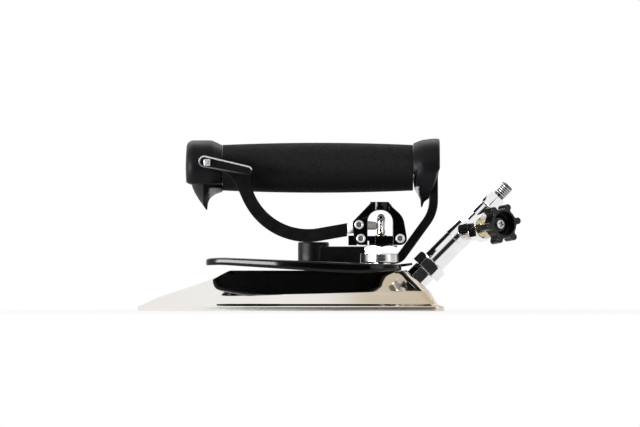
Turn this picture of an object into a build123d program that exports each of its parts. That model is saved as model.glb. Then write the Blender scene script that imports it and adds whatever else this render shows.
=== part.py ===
"""Hose-fed steam pressing iron, in millimetres: nose toward -X, lever side toward -Y, +Z up."""

import os
from math import cos, radians, sin, sqrt, tan

from build123d import *

# Clearances
SEAT = 0.05
RUN = 0.06
BOLT = 0.15
THROUGH = 60.0

# Sole plate
SOLE_LENGTH = 221.0
SOLE_WIDTH = 114.0
SOLE_THICKNESS = 3.7
SOLE_NOSE_R = 6.0
SOLE_CORNER_R = 9.0
SOLE_EDGE_R = 1.2
STEAM_HOLE_R = 1.5
STEAM_INSET = 18.0
STEAM_START = 18.0
STEAM_PITCH = 14.5
STEAM_COUNT = 9
REAR = SOLE_LENGTH / 2
NOSE = -SOLE_LENGTH / 2
SOLE_WIDEST_OFFSET = 52.5
SOLE_WIDEST = REAR - SOLE_WIDEST_OFFSET

# Body casting, its sections given as set-backs from the sole's nose, rear and side
BODY_TOP = 29.0
FOOT_SETBACK = 1.9
WALL_SETBACK = 4.9
WALL_RISE = 1.3
CREASE_NOSE = 14.0
CREASE_REAR = 10.2
CREASE_SIDE = 10.0
CREASE_NOSE_Z = 9.5
CREASE_REAR_Z = 14.0
SHOULDER_NOSE = 50.8
SHOULDER_REAR = 18.7
SHOULDER_SIDE = 21.4
SHOULDER_Z = 21.6
TOP_NOSE = 65.7
TOP_REAR = 26.9
TOP_SIDE = 28.5
TOP_EDGE_R = 1.6
BODY_CORNER_R = 4.0
WALL_CORNER_R_OFFSET = 0.5
WALL_CORNER_R = BODY_CORNER_R + WALL_CORNER_R_OFFSET
WALL_NOSE_R_OFFSET = 1.5
WALL_NOSE_R = SOLE_NOSE_R - WALL_NOSE_R_OFFSET
CREASE_NOSE_R_OFFSET = 1.0
CREASE_NOSE_R = SOLE_NOSE_R - CREASE_NOSE_R_OFFSET
TOP_NOSE_R_OFFSET = 1.0
TOP_NOSE_R = SOLE_NOSE_R + TOP_NOSE_R_OFFSET
CREASE_WIDEST_OFFSET = 3.0
CREASE_WIDEST = SOLE_WIDEST - CREASE_WIDEST_OFFSET
SHOULDER_WIDEST_OFFSET = 8.0
SHOULDER_WIDEST = SOLE_WIDEST - SHOULDER_WIDEST_OFFSET
TOP_WIDEST_OFFSET = 12.0
TOP_WIDEST = SOLE_WIDEST - TOP_WIDEST_OFFSET
CHAMBER_INSET = 13.0
CHAMBER_HEIGHT = 5.8
CHAMBER_NOSE = 26.5
CHAMBER_REAR = 42.5
RIB_Y = 16.0
RIB_WIDTH = 3.0
SUPPLY_R = 2.2
SUPPLY_DEPTH = 12.0
SUPPLY_RISE = 4.0

# Steam inlet at the rear slope: pieces are placed along its axis
INLET_ANGLE = 45.5
INLET_X_OFFSET = 20.9
INLET_X = REAR - INLET_X_OFFSET
INLET_Z_OFFSET = 7.4
INLET_Z = BODY_TOP - INLET_Z_OFFSET
INLET_SEAT = 1.2
INLET_BOSS_R = 10.5
INLET_BORE_R = 3.5
SPIGOT_R = 6.0
SPIGOT_DEPTH = 9.0
INLET_BORE_EXTRA = 5.0
ADAPTER_AF = 14.6
ADAPTER_LENGTH = 9.4
GASKET_THICKNESS = 0.8
GASKET_INSET = 0.4
INLET_NUT_AF = 20.5
INLET_NUT_LENGTH = 8.6
PIPE_R = 8.7
PIPE_TAIL_R = 7.4
PIPE_END = 41.3
RUN_BARREL_R = 9.1
RUN_BARREL_END = 54.0
RUN_CONE_END = 58.5
NECK_R = 5.0
NECK_END = 65.0
COLLAR_R = 6.2
COLLAR_END = 74.4
WASHER_THICKNESS = 1.0
WASHER_INSET = 0.6
NIPPLE_AF = 12.5
NIPPLE_HEX_LENGTH = 10.0
THREAD_R = 5.0
THREAD_LENGTH = 9.5
RELIEF_DEPTH = 1.0
RELIEF_LENGTH = 1.4
HOSE_BORE_R = 2.6

# Control valve branch: pieces are placed along its own axis from the inlet axis
BRANCH_ROOT = 49.4
BRANCH_SIDE = 34.1
BRANCH_RISE = 6.5
BRANCH_R = 7.8
BRANCH_LENGTH = 18.6
BRANCH_BORE_R = 5.2
BONNET_AF = 17.0
BONNET_LENGTH = 9.6
GLAND_AF = 11.0
GLAND_LENGTH = 6.6
SPINDLE_R = 2.6
SPINDLE_ROOM = 0.4
SPINDLE_SHORT = 1.0
SPINDLE_PACKING_HEIGHT = 2.6
GLAND_SPIGOT = 1.4
PLUG_R = 4.6
PLUG_HEIGHT = 5.0
PLUG_START = 5.2
WHEEL_TRAVEL = 3.75
WHEEL_GAP = 1.6
WHEEL_HUB_R = 6.0
WHEEL_BACK = 6.75
WHEEL_THICKNESS = 9.8
WHEEL_DISC_R = 10.6
LOBE_PITCH_R = 12.4
LOBE_R = 2.5
LOBE_ROOT_R = 1.6
LOBE_EDGE_R = 1.0
LOBE_COUNT = 6
DISH_R = 8.8
DISH_DEPTH = 8.2
DOME_R = 6.8
DOME_HEIGHT = 1.6
WHEEL_SCREW_R = 3.5
WHEEL_SCREW_HEIGHT = 2.2
WHEEL_SCREW_EDGE_R = 1.2
WHEEL_SCREW_SHANK_R = 1.6
WHEEL_SCREW_LENGTH = 9.0

# Heat shield: a tray that falls slightly toward the rear
SHIELD_TILT = 2.3
SHIELD_Z_OFFSET = 7.5
SHIELD_Z = BODY_TOP + SHIELD_Z_OFFSET
SHIELD_SKIN = 2.2
SHIELD_RIM = 7.5
SHIELD_WIDTH = 90.0
SHIELD_NOSE_OFFSET = 49.3
SHIELD_NOSE = NOSE + SHIELD_NOSE_OFFSET
SHIELD_REAR_OFFSET = 9.6
SHIELD_REAR = INLET_X - SHIELD_REAR_OFFSET
SHIELD_NOSE_R = 14.0
SHIELD_CORNER_R = 30.0
SHIELD_WIDEST_OFFSET = 48.0
SHIELD_WIDEST = SHIELD_REAR - SHIELD_WIDEST_OFFSET
SHIELD_EDGE_R = 3.4
TAIL_OVERLAP = 12.0
TAIL_BEND = 3.0
TAIL_TIP = 1.8
TAIL_CORNER_R = 6.0
SHIELD_OPEN_WIDTH = 78.0
SHIELD_OPEN_LENGTH = 30.0
TAIL_END_OFFSET = 2.0
TAIL_END = INLET_X - TAIL_END_OFFSET
TAIL_LIFT = 1.6
TAIL_WIDTH = 30.0

# Handle base and bracket
BASE_SETBACK = 5.0
BASE_EDGE_R = 2.0
BOSS_EDGE_R = 1.2
BASE_WIDTH = 20.0
BASE_TOP_OFFSET = 9.9
BASE_TOP = SHIELD_Z + BASE_TOP_OFFSET
BOSS_TOP_OFFSET = 13.1
BOSS_TOP = SHIELD_Z + BOSS_TOP_OFFSET
BOSS_R = 11.2
BASE_FRONT_X_OFFSET = 94.1
BASE_FRONT_X = REAR - BASE_FRONT_X_OFFSET
BRACKET_THICKNESS = 6.4
BRACKET_WIDTH = 19.6
BRACKET_EDGE = 0.6
BRACKET_X_OFFSET = 7.55
BRACKET_X = REAR - BRACKET_X_OFFSET
BRACKET_BEND_DROP = 32.0
BRACKET_BEND_R = 26.0
FOOT_BEND_X_OFFSET = 24.95
FOOT_BEND_X = BRACKET_X - FOOT_BEND_X_OFFSET
FOOT_BEND_R = 8.0
FOOT_END_X_OFFSET = 52.5
FOOT_END_X = BRACKET_X - FOOT_END_X_OFFSET
FOOT_RISE = 0.1
BASE_SCREW_R = 2.5
BASE_HEAD_R = 4.25
BASE_HEAD_HEIGHT = 4.0
BASE_HEAD_SINK = 4.3
BASE_SOCKET_AF = 4.0
BASE_SOCKET_DEPTH = 2.5
BASE_SCREW_MID = 21.0
BASE_SCREW_END = 45.0
BASE_SCREW_XS = (BASE_FRONT_X, BASE_FRONT_X + BASE_SCREW_MID, BASE_FRONT_X + BASE_SCREW_END)
BASE_SCREW_DEPTH = 10.0
SPACER_R = 5.0

# Handle
HANDLE_Z_OFFSET = 56.7
HANDLE_Z = BASE_TOP + HANDLE_Z_OFFSET
GRIP_REAR_OFFSET = 14.75
GRIP_REAR = BRACKET_X - GRIP_REAR_OFFSET
GRIP_EDGE_R = 1.2
GRIP_LENGTH = 137.4
GRIP_END_R = 16.5
GRIP_MID_R = 18.1
CORE_R = 10.9
CORE_WALL = 2.0
CORE_FRONT_REACH = 12.6
PLUG_LENGTH = 16.0
HANDLE_BOLT_R = 3.0
HANDLE_BOLT_HEAD_R = 6.0
HANDLE_BOLT_LENGTH = 20.0
BRACKET_REACH = 10.0
BRACKET_TOP = HANDLE_Z + BRACKET_REACH
CAP_GAP = 0.2
FRONT_CAP_LENGTH = 26.5
FRONT_CAP_R = 19.8
FRONT_CAP_NECK_R = 16.3
FRONT_CAP_NECK = 7.5
FRONT_CAP_LIP_R = 0.6
FRONT_CAP_SHOULDER_R = 8.0
FRONT_CAP_EDGE_R = 5.5
FRONT_CAP_DOME = 1.2
FRONT_CUT = 11.6
REAR_CAP_R = 21.1
REAR_CAP_NECK_R = 17.5
REAR_CAP_MID_R = 20.2
REAR_CAP_MID = 7.0
REAR_CAP_LENGTH = 19.2
REAR_CAP_EDGE = 3.0
REAR_CAP_DISH = 0.6
REAR_CUT = 4.3

# Finger guards, level by level: drop below the handle's axis, then from the cap's front end
# the outer edge, the ridge and its half-width, the hand edge and its half-width, the hand
# apex, and how far the near face bulges
FRONT_GUARD = (
    (10.6, 4.3, 12.6, 15.9, 17.6, 15.4, 26.0, 0.6),
    (15.5, 5.75, 12.6, 13.2, 16.6, 12.7, 25.3, 0.5),
    (19.1, 7.4, 12.65, 10.6, 16.1, 10.2, 22.9, 0.4),
    (22.6, 9.8, 12.85, 7.6, 15.75, 7.3, 19.6, 0.3),
    (26.1, 12.3, 13.4, 4.3, 15.4, 4.2, 17.2, 0.2),
    (30.4, 14.7, 15.0, 0.8, 15.3, 0.8, 15.8, 0.05),
)
REAR_GUARD = (
    (3.3, 18.0, 17.7, 19.7, 0.8, 17.0, 0.4, 1.6),
    (8.1, 17.1, 16.9, 18.2, 1.8, 15.8, 0.5, 1.5),
    (12.6, 15.5, 15.3, 15.6, 2.6, 13.9, 1.1, 1.2),
    (17.1, 13.2, 13.0, 12.2, 4.3, 10.9, 2.3, 0.9),
    (21.4, 10.9, 10.7, 7.8, 4.9, 7.0, 4.2, 0.5),
    (25.2, 8.2, 8.0, 3.4, 5.2, 3.2, 4.9, 0.2),
    (28.5, 6.9, 6.7, 0.8, 5.5, 0.8, 5.3, 0.05),
)

# Steam valve, on a vertical axis beside the handle
VALVE_X_OFFSET = 45.5
VALVE_X = REAR - VALVE_X_OFFSET
VALVE_Y = -23.5
VALVE_BOSS_R = 8.6
VALVE_SPIGOT_R = 6.0
VALVE_SPIGOT_DEPTH = 10.0
VALVE_STUB_R = 7.0
STUB_ROOM = 0.8
VALVE_COLLAR_R = 12.25
VALVE_COLLAR_EDGE_R = 0.8
VALVE_COLLAR_HEIGHT = 6.3
VALVE_NECK_R = 9.0
VALVE_NECK_HEIGHT = 2.4
VALVE_BORE_R = 4.9
SEAT_HEIGHT = 2.5
SEAT_BORE_R = 2.6
UNION_AF = 23.0
UNION_HEIGHT = 5.9
UNION_LIP = 1.9
HEAD_EDGE = 0.6
FLANGE_INSET = 0.3
HEAD_FLANGE = 1.5
HEAD_NECK_R = 6.2
HEAD_AF = 15.0
HEAD_HEIGHT = 6.9
EAR_WIDTH = 8.0
EAR_R = 4.0
STEM_R = 2.5
PACKING_R = 4.2
PACKING_HEIGHT = 2.5
GLAND_RING_HEIGHT = 2.9
DISC_R = 3.9
DISC_HEIGHT = 3.0
DISC_STUD_R = 1.5
SPRING_R = 3.75
SPRING_WIRE_R = 0.45
SPRING_PITCH = 2.7
STEM_LIFT = 2.4
STEM_HEAD_R = 3.0
STEM_SLIT = 1.2
EYE_R = 2.4
EYE_RISE = 5.2
EYE_HALF = 2.4
SLIT_ENDS = 3.4
STEM_HEAD_GAP = 1.4
DISC_ROOF = 0.7
TANG_TIP_SIDE = 0.3
EYE_HOLE_R = 1.1

# Yoke
CHEEK_THICKNESS = 3.6
CHEEK_GAP = 0.1
CHEEK_EDGE = 0.4
BOSS_CIRCLE_R = 4.8
YOKE_TOP = 26.3
YOKE_WINDOW_LEFT = 9.7
YOKE_WINDOW_RIGHT = 8.4
YOKE_WINDOW_TOP = 20.3
YOKE_WINDOW_R = 8.4
WINDOW_DROP = 10.0
YOKE_CROWN_R = 7.9
CROWN_WIDTH = 11.6
CROWN_LEFT = 5.4
CROWN_RIGHT = 3.0
CROWN_EDGE_R = 3.0
SHOULDER_REACH = 3.5
SHOULDER_RISE = 8.7
SHOULDER_R = 13.5
LUG_REACH = 23.5
LUG_DROP = 5.0
LUG_RISE = 2.1
LUG_ROOT = 2.8
LEFT_EAR = 14.5
RIGHT_EAR = 13.8
PIVOT_REACH = 15.8
PIVOT_RISE = 9.9
YOKE_SCREW_R = 2.0
YOKE_HEAD_R = 3.3
YOKE_HEAD_EDGE_R = 0.6
YOKE_HEAD_HEIGHT = 4.0
YOKE_SOCKET_AF = 3.0
YOKE_SOCKET_DEPTH = 2.0
YOKE_NUT_AF = 7.0
YOKE_NUT_HEIGHT = 3.2

# Lever: the arc's centre and the tab are placed from the pivot
ARM_THICKNESS = 5.0
ARM_EDGE = 0.5
ARM_CENTRE_BACK = 36.8
ARM_CENTRE_UP = 38.9
ARM_INNER_R = 42.05
ARM_OUTER_R = 51.4
ARM_ARC_END = 280.0
ARM_INNER_START = 185.0
ARM_OUTER_START = 208.0
ARM_END_BACK = 8.6
FLARE_BACK = 9.5
FLARE_TOP = 10.0
FLARE_DROP = 1.9
FLARE_WAY = (-0.97, 0.22)
TAB_FRONT_BACK = 111.2
TAB_FRONT_UP = 45.4
TAB_FRONT_R = 4.2
TAB_REAR_BACK = 80.0
TAB_REAR_UP = 39.0
TAB_REAR_R = 3.3
TAB_DEPTH = 13.0
TAB_RECESS = 0.8
TAB_RIM = 1.0
RIVET_SIDE = 4.8
RIVET_BACK = 109.3
RIVET_UP = 44.7
RIVET_PROUD = 0.4
RIVET_EDGE = 0.3
TANG_THICKNESS = 4.6
TANG_TAIL = 2.4
TANG_TAIL_LENGTH = 12.0
TANG_TAIL_HEIGHT = 5.0
TANG_HUB_R = 4.3
TANG_HEIGHT = 5.5
TANG_TIP = 2.0
TANG_TIP_HEIGHT = 4.2
TANG_TIP_ROOM = 0.75
TANG_TIP_OVERRUN = 2.2
TANG_TIP_DROP = 0.9
TANG_TIP_GAP = 0.6
TANG_TAIL_ROOT = 1.5
TANG_HEEL = 6.7
TANG_HEEL_BACK = 3.9
TANG_HEEL_FRONT = 6.1
TANG_HUB_TOP = 3.5
TANG_BROW = 1.0
TANG_HUB_ROOM = 0.3
RUN_GAP = 0.2

# Heights and points that follow from the sizes above
SHIELD_SLOPE = tan(radians(SHIELD_TILT))
COLLAR_BOTTOM_OFFSET = 0.3
COLLAR_BOTTOM = SHIELD_Z - (VALVE_X - VALVE_COLLAR_R) * SHIELD_SLOPE + COLLAR_BOTTOM_OFFSET
COLLAR_TOP = COLLAR_BOTTOM + VALVE_COLLAR_HEIGHT
UNION_BOTTOM = COLLAR_TOP + SEAT
UNION_TOP = UNION_BOTTOM + UNION_HEIGHT
NECK_TOP = COLLAR_TOP + VALVE_NECK_HEIGHT
FLANGE_BOTTOM = NECK_TOP + SEAT
FLANGE_TOP = FLANGE_BOTTOM + HEAD_FLANGE
HEAD_BOTTOM = UNION_TOP + SEAT
HEAD_TOP = HEAD_BOTTOM + HEAD_HEIGHT
EAR_Z_OFFSET = 1.8
EAR_Z = HEAD_TOP - EAR_Z_OFFSET
PIVOT_X = VALVE_X - PIVOT_REACH
PIVOT_Z = EAR_Z + PIVOT_RISE
VALVE_SEAT_Z = BODY_TOP - VALVE_SPIGOT_DEPTH + SEAT_HEIGHT
DISC_BOTTOM = VALVE_SEAT_Z + SEAT
DISC_TOP = DISC_BOTTOM + DISC_HEIGHT
ARM_CENTRE_X = PIVOT_X - ARM_CENTRE_BACK
ARM_CENTRE_Z = PIVOT_Z + ARM_CENTRE_UP
HEAD_SEAT_Z = BASE_TOP - BASE_HEAD_SINK
GRIP_FRONT = GRIP_REAR - GRIP_LENGTH
CHEEK_INNER = EAR_WIDTH / 2 + CHEEK_GAP
CHEEK_OUTER = CHEEK_INNER + CHEEK_THICKNESS
INLET_AXIS = Vector(cos(radians(INLET_ANGLE)), 0, sin(radians(INLET_ANGLE)))
INLET_FOOT = Vector(INLET_X, 0, INLET_Z)
BRANCH_AXIS = Vector(
    cos(radians(BRANCH_RISE)) * sin(radians(BRANCH_SIDE)),
    -cos(radians(BRANCH_RISE)) * cos(radians(BRANCH_SIDE)),
    sin(radians(BRANCH_RISE)),
)
BRANCH_FOOT = INLET_FOOT + INLET_AXIS * BRANCH_ROOT
NUT_START = INLET_SEAT + ADAPTER_LENGTH + SEAT
NUT_END = NUT_START + INLET_NUT_LENGTH
TAIL_START = INLET_SEAT + ADAPTER_LENGTH + GASKET_THICKNESS
HEX_START = COLLAR_END + WASHER_THICKNESS
HEX_END = HEX_START + NIPPLE_HEX_LENGTH
BONNET_START = BRANCH_LENGTH + SEAT
BONNET_END = BONNET_START + BONNET_LENGTH
GLAND_END = BONNET_END + GLAND_LENGTH
HUB_START = GLAND_END + WHEEL_GAP
WHEEL_START = HUB_START + WHEEL_BACK
WHEEL_END = WHEEL_START + WHEEL_THICKNESS
DOME_TOP = WHEEL_END - DISH_DEPTH + DOME_HEIGHT
BASE = (Align.CENTER, Align.CENTER, Align.MIN)
TIP = (Align.CENTER, Align.CENTER, Align.MAX)


def iron_outline(nose, rear, half_width, nose_r, corner_r, widest):
    """Nose arc, long side arc, straight flank and rear corner, mirrored about the long axis."""
    reach = widest - nose - nose_r
    side_r = (reach**2 + half_width**2 - nose_r**2) / (2 * (half_width - nose_r))
    to_nose = Vector(-reach, side_r - half_width).normalized()
    start = Vector(widest, half_width - side_r) + to_nose * side_r
    tip = TangentArc((nose, 0), start, tangent=(0, 1))
    side = TangentArc(tip @ 1, (widest, half_width), tangent=tip % 1)
    flank = Line(side @ 1, (rear - corner_r, half_width))
    corner = TangentArc(flank @ 1, (rear, half_width - corner_r), tangent=(1, 0))
    Line(corner @ 1, (rear, 0))
    mirror(about=Plane.XZ)


def sole_half_width(x):
    """Half the sole's width at a place on its long side arc."""
    reach = SOLE_WIDEST - NOSE - SOLE_NOSE_R
    half = SOLE_WIDTH / 2
    side_r = (reach**2 + half**2 - SOLE_NOSE_R**2) / (2 * (half - SOLE_NOSE_R))
    return half - side_r + sqrt(side_r**2 - (x - SOLE_WIDEST) ** 2)


def shield_top(x):
    """Height of the shield's top face."""
    return SHIELD_Z - x * SHIELD_SLOPE


def shield_plane(depth):
    """Plane parallel to the shield's top face, a depth below it."""
    tilt = radians(SHIELD_TILT)
    normal = Vector(sin(tilt), 0, cos(tilt))
    origin = Vector(0, 0, SHIELD_Z) - normal * depth
    return Plane(origin=origin, x_dir=(cos(tilt), 0, -sin(tilt)), z_dir=normal)


def inlet_plane(along):
    """Plane across the inlet axis."""
    up = Vector(-sin(radians(INLET_ANGLE)), 0, cos(radians(INLET_ANGLE)))
    return Plane(origin=INLET_FOOT + INLET_AXIS * along, x_dir=up, z_dir=INLET_AXIS)


def branch_plane(along):
    """Plane across the branch axis, turned so that one lobe of the wheel points to the rear."""
    flat = Vector(BRANCH_AXIS.X, 0, BRANCH_AXIS.Z).normalized()
    lobe = flat - BRANCH_AXIS * flat.dot(BRANCH_AXIS)
    return Plane(origin=BRANCH_FOOT + BRANCH_AXIS * along, x_dir=lobe, z_dir=BRANCH_AXIS)


def chamfered_hex(plane, across_flats, height, turn=0):
    """Hexagon with its outer end chamfered, the first solid of its part."""
    with BuildSketch(plane) as outline:
        RegularPolygon(across_flats / 2, 6, major_radius=False, rotation=turn)
    extrude(outline.sketch, amount=height)
    with Locations(plane):
        wide = across_flats * 0.49 + height * 1.5
        Cone(wide, across_flats * 0.49, height, align=BASE, mode=Mode.INTERSECT)


def guard(levels, start):
    """Pointed finger guard: six-sided sections from its root down to its tip."""
    sections = []
    for drop, outer, ridge, ridge_width, edge, edge_width, hand, bulge in levels:
        middle = ((ridge + edge) / 2 + start, -(ridge_width + edge_width) / 2 - bulge)
        with BuildSketch(Plane.XY.offset(HANDLE_Z - drop)) as section:
            with BuildLine():
                Line((start + outer, 0), (start + ridge, -ridge_width))
                ThreePointArc((start + ridge, -ridge_width), middle, (start + edge, -edge_width))
                Line((start + edge, -edge_width), (start + hand, 0))
                mirror(about=Plane.XZ)
            make_face()
        sections.append(section.sketch)
    loft(sections)


# Sole plate with its steam holes
steam_xs = [SOLE_WIDEST - STEAM_START - STEAM_PITCH * step for step in range(STEAM_COUNT)]
steam_points = []
for steam_x in steam_xs:
    steam_y = sole_half_width(steam_x) - STEAM_INSET
    steam_points += [(steam_x, steam_y, SOLE_THICKNESS), (steam_x, -steam_y, SOLE_THICKNESS)]
with BuildPart() as sole_plate:
    with BuildSketch():
        with BuildLine():
            iron_outline(NOSE, REAR, SOLE_WIDTH / 2, SOLE_NOSE_R, SOLE_CORNER_R, SOLE_WIDEST)
        make_face()
    extrude(amount=SOLE_THICKNESS)
    fillet(sole_plate.faces().sort_by(Axis.Z)[-1].outer_wire().edges(), radius=SOLE_EDGE_R)
    with Locations(*steam_points):
        Hole(STEAM_HOLE_R)

# Body casting: sloping walls in bands, steam chamber below, passages to the valve
crease_slope = (CREASE_REAR_Z - CREASE_NOSE_Z) / (SOLE_LENGTH - CREASE_NOSE - CREASE_REAR)
crease_z = CREASE_NOSE_Z - (NOSE + CREASE_NOSE) * crease_slope
crease_plane = Plane(origin=(0, 0, crease_z), x_dir=(1, 0, crease_slope), z_dir=(-crease_slope, 0, 1))
crease_stretch = sqrt(1 + crease_slope**2)
supply_start = INLET_FOOT - INLET_AXIS * SUPPLY_DEPTH
supply_end = Vector(VALVE_X, VALVE_Y, VALVE_SEAT_Z + SUPPLY_RISE)
supply_plane = Plane(origin=supply_start, z_dir=supply_end - supply_start)
with BuildPart() as iron_body:
    with BuildSketch(Plane.XY.offset(SOLE_THICKNESS)):
        with BuildLine():
            iron_outline(
                NOSE + FOOT_SETBACK,
                REAR - FOOT_SETBACK,
                SOLE_WIDTH / 2 - FOOT_SETBACK,
                CREASE_NOSE_R,
                SOLE_CORNER_R - FOOT_SETBACK,
                SOLE_WIDEST,
            )
        make_face()
    with BuildSketch(Plane.XY.offset(SOLE_THICKNESS + WALL_RISE)):
        with BuildLine():
            iron_outline(
                NOSE + WALL_SETBACK,
                REAR - WALL_SETBACK,
                SOLE_WIDTH / 2 - WALL_SETBACK,
                WALL_NOSE_R,
                WALL_CORNER_R,
                SOLE_WIDEST,
            )
        make_face()
    with BuildSketch(crease_plane):
        with BuildLine():
            iron_outline(
                (NOSE + CREASE_NOSE) * crease_stretch,
                (REAR - CREASE_REAR) * crease_stretch,
                SOLE_WIDTH / 2 - CREASE_SIDE,
                CREASE_NOSE_R,
                BODY_CORNER_R,
                CREASE_WIDEST,
            )
        make_face()
    with BuildSketch(Plane.XY.offset(SHOULDER_Z)):
        with BuildLine():
            iron_outline(
                NOSE + SHOULDER_NOSE,
                REAR - SHOULDER_REAR,
                SOLE_WIDTH / 2 - SHOULDER_SIDE,
                SOLE_NOSE_R,
                BODY_CORNER_R,
                SHOULDER_WIDEST,
            )
        make_face()
    with BuildSketch(Plane.XY.offset(BODY_TOP)):
        with BuildLine():
            iron_outline(
                NOSE + TOP_NOSE,
                REAR - TOP_REAR,
                SOLE_WIDTH / 2 - TOP_SIDE,
                TOP_NOSE_R,
                BODY_CORNER_R,
                TOP_WIDEST,
            )
        make_face()
    loft(ruled=True)
    fillet(iron_body.faces().sort_by(Axis.Z)[-1].outer_wire().edges(), radius=TOP_EDGE_R)
    with Locations((VALVE_X, VALVE_Y, BODY_TOP)):
        Cylinder(VALVE_BOSS_R, VALVE_SPIGOT_DEPTH, align=TIP)
    with Locations(inlet_plane(INLET_SEAT)):
        Cylinder(INLET_BOSS_R, SPIGOT_DEPTH, align=TIP)
        Cylinder(INLET_BOSS_R, SPIGOT_DEPTH, align=BASE, mode=Mode.SUBTRACT)
    with BuildSketch(Plane.XY.offset(SOLE_THICKNESS)):
        with BuildLine():
            iron_outline(NOSE, REAR, SOLE_WIDTH / 2, SOLE_NOSE_R, SOLE_CORNER_R, SOLE_WIDEST)
        make_face()
        offset(amount=-CHAMBER_INSET)
        with Locations(((CHAMBER_NOSE - CHAMBER_REAR) / 2, 0)):
            Rectangle(SOLE_LENGTH - CHAMBER_NOSE - CHAMBER_REAR, SOLE_WIDTH, mode=Mode.INTERSECT)
        with Locations((0, RIB_Y), (0, -RIB_Y)):
            Rectangle(SOLE_LENGTH / 2, RIB_WIDTH, mode=Mode.SUBTRACT)
    extrude(amount=CHAMBER_HEIGHT, mode=Mode.SUBTRACT)
    with Locations((VALVE_X, VALVE_Y, BODY_TOP)):
        Cylinder(VALVE_SPIGOT_R + SEAT, VALVE_SPIGOT_DEPTH, align=TIP, mode=Mode.SUBTRACT)
    with Locations((VALVE_X, VALVE_Y, BODY_TOP)):
        Cylinder(SEAT_BORE_R, BODY_TOP - SOLE_THICKNESS - 1.0, align=TIP, mode=Mode.SUBTRACT)
    with Locations(inlet_plane(INLET_SEAT)):
        Cylinder(SPIGOT_R + SEAT, SPIGOT_DEPTH + SEAT, align=TIP, mode=Mode.SUBTRACT)
    with Locations(inlet_plane(INLET_SEAT)):
        Cylinder(INLET_BORE_R, SPIGOT_DEPTH + INLET_BORE_EXTRA, align=TIP, mode=Mode.SUBTRACT)
    with Locations(supply_plane):
        supply_length = (supply_end - supply_start).length
        Cylinder(SUPPLY_R, supply_length, align=BASE, mode=Mode.SUBTRACT)
    with Locations(*[(x, 0, BODY_TOP) for x in BASE_SCREW_XS]):
        Cylinder(BASE_SCREW_R + SEAT, BASE_SCREW_DEPTH + 1.0, align=TIP, mode=Mode.SUBTRACT)

# Heat shield: a tray with an open rear and an upturned tail
tail_top = shield_top(TAIL_END) + TAIL_LIFT
tail_root = SHIELD_REAR - TAIL_OVERLAP
tail_bend = SHIELD_REAR - TAIL_BEND
with BuildPart() as heat_shield:
    with BuildSketch(shield_plane(SHIELD_RIM)):
        with BuildLine():
            iron_outline(
                SHIELD_NOSE,
                SHIELD_REAR,
                SHIELD_WIDTH / 2,
                SHIELD_NOSE_R,
                SHIELD_CORNER_R,
                SHIELD_WIDEST,
            )
        make_face()
    extrude(amount=SHIELD_RIM)
    fillet(heat_shield.faces().sort_by(Axis.Z)[-1].outer_wire().edges(), radius=SHIELD_EDGE_R)
    with BuildSketch(shield_plane(SHIELD_RIM)):
        with BuildLine():
            iron_outline(
                SHIELD_NOSE + SHIELD_SKIN,
                SHIELD_REAR - SHIELD_SKIN,
                SHIELD_WIDTH / 2 - SHIELD_SKIN,
                SHIELD_NOSE_R - SHIELD_SKIN,
                SHIELD_CORNER_R - SHIELD_SKIN,
                SHIELD_WIDEST,
            )
        make_face()
        with Locations((SHIELD_REAR, 0)):
            Rectangle(SHIELD_OPEN_LENGTH, SHIELD_OPEN_WIDTH)
    extrude(amount=SHIELD_RIM - SHIELD_SKIN, mode=Mode.SUBTRACT)
    with BuildSketch(Plane.XZ):
        with BuildLine():
            Polyline(
                (tail_root, shield_top(tail_root)),
                (tail_bend, shield_top(tail_bend)),
                (TAIL_END, tail_top),
                (TAIL_END, tail_top - TAIL_TIP),
                (tail_bend, shield_top(tail_bend) - SHIELD_SKIN),
                (tail_root, shield_top(tail_root) - SHIELD_SKIN),
                close=True,
            )
        make_face()
    extrude(amount=TAIL_WIDTH / 2, both=True)
    fillet(
        heat_shield.faces().sort_by(Axis.X)[-1].edges().filter_by(Axis.Z, tolerance=20),
        radius=TAIL_CORNER_R,
    )
    with Locations(*[(x, 0, SHIELD_Z) for x in BASE_SCREW_XS]):
        Cylinder(BASE_SCREW_R + BOLT, THROUGH, mode=Mode.SUBTRACT)
    with Locations((VALVE_X, VALVE_Y, SHIELD_Z)):
        Cylinder(VALVE_STUB_R + STUB_ROOM, THROUGH, mode=Mode.SUBTRACT)

# Spacers between body and shield
with BuildPart() as shield_spacers:
    with Locations(*[(x, 0, BODY_TOP) for x in BASE_SCREW_XS]):
        Cylinder(SPACER_R, SHIELD_Z - BODY_TOP, align=BASE)
    split(bisect_by=shield_plane(SHIELD_SKIN), keep=Keep.BOTTOM)
    with Locations(*[(x, 0, BODY_TOP) for x in BASE_SCREW_XS]):
        Cylinder(BASE_SCREW_R + BOLT, SHIELD_Z, mode=Mode.SUBTRACT)

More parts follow.
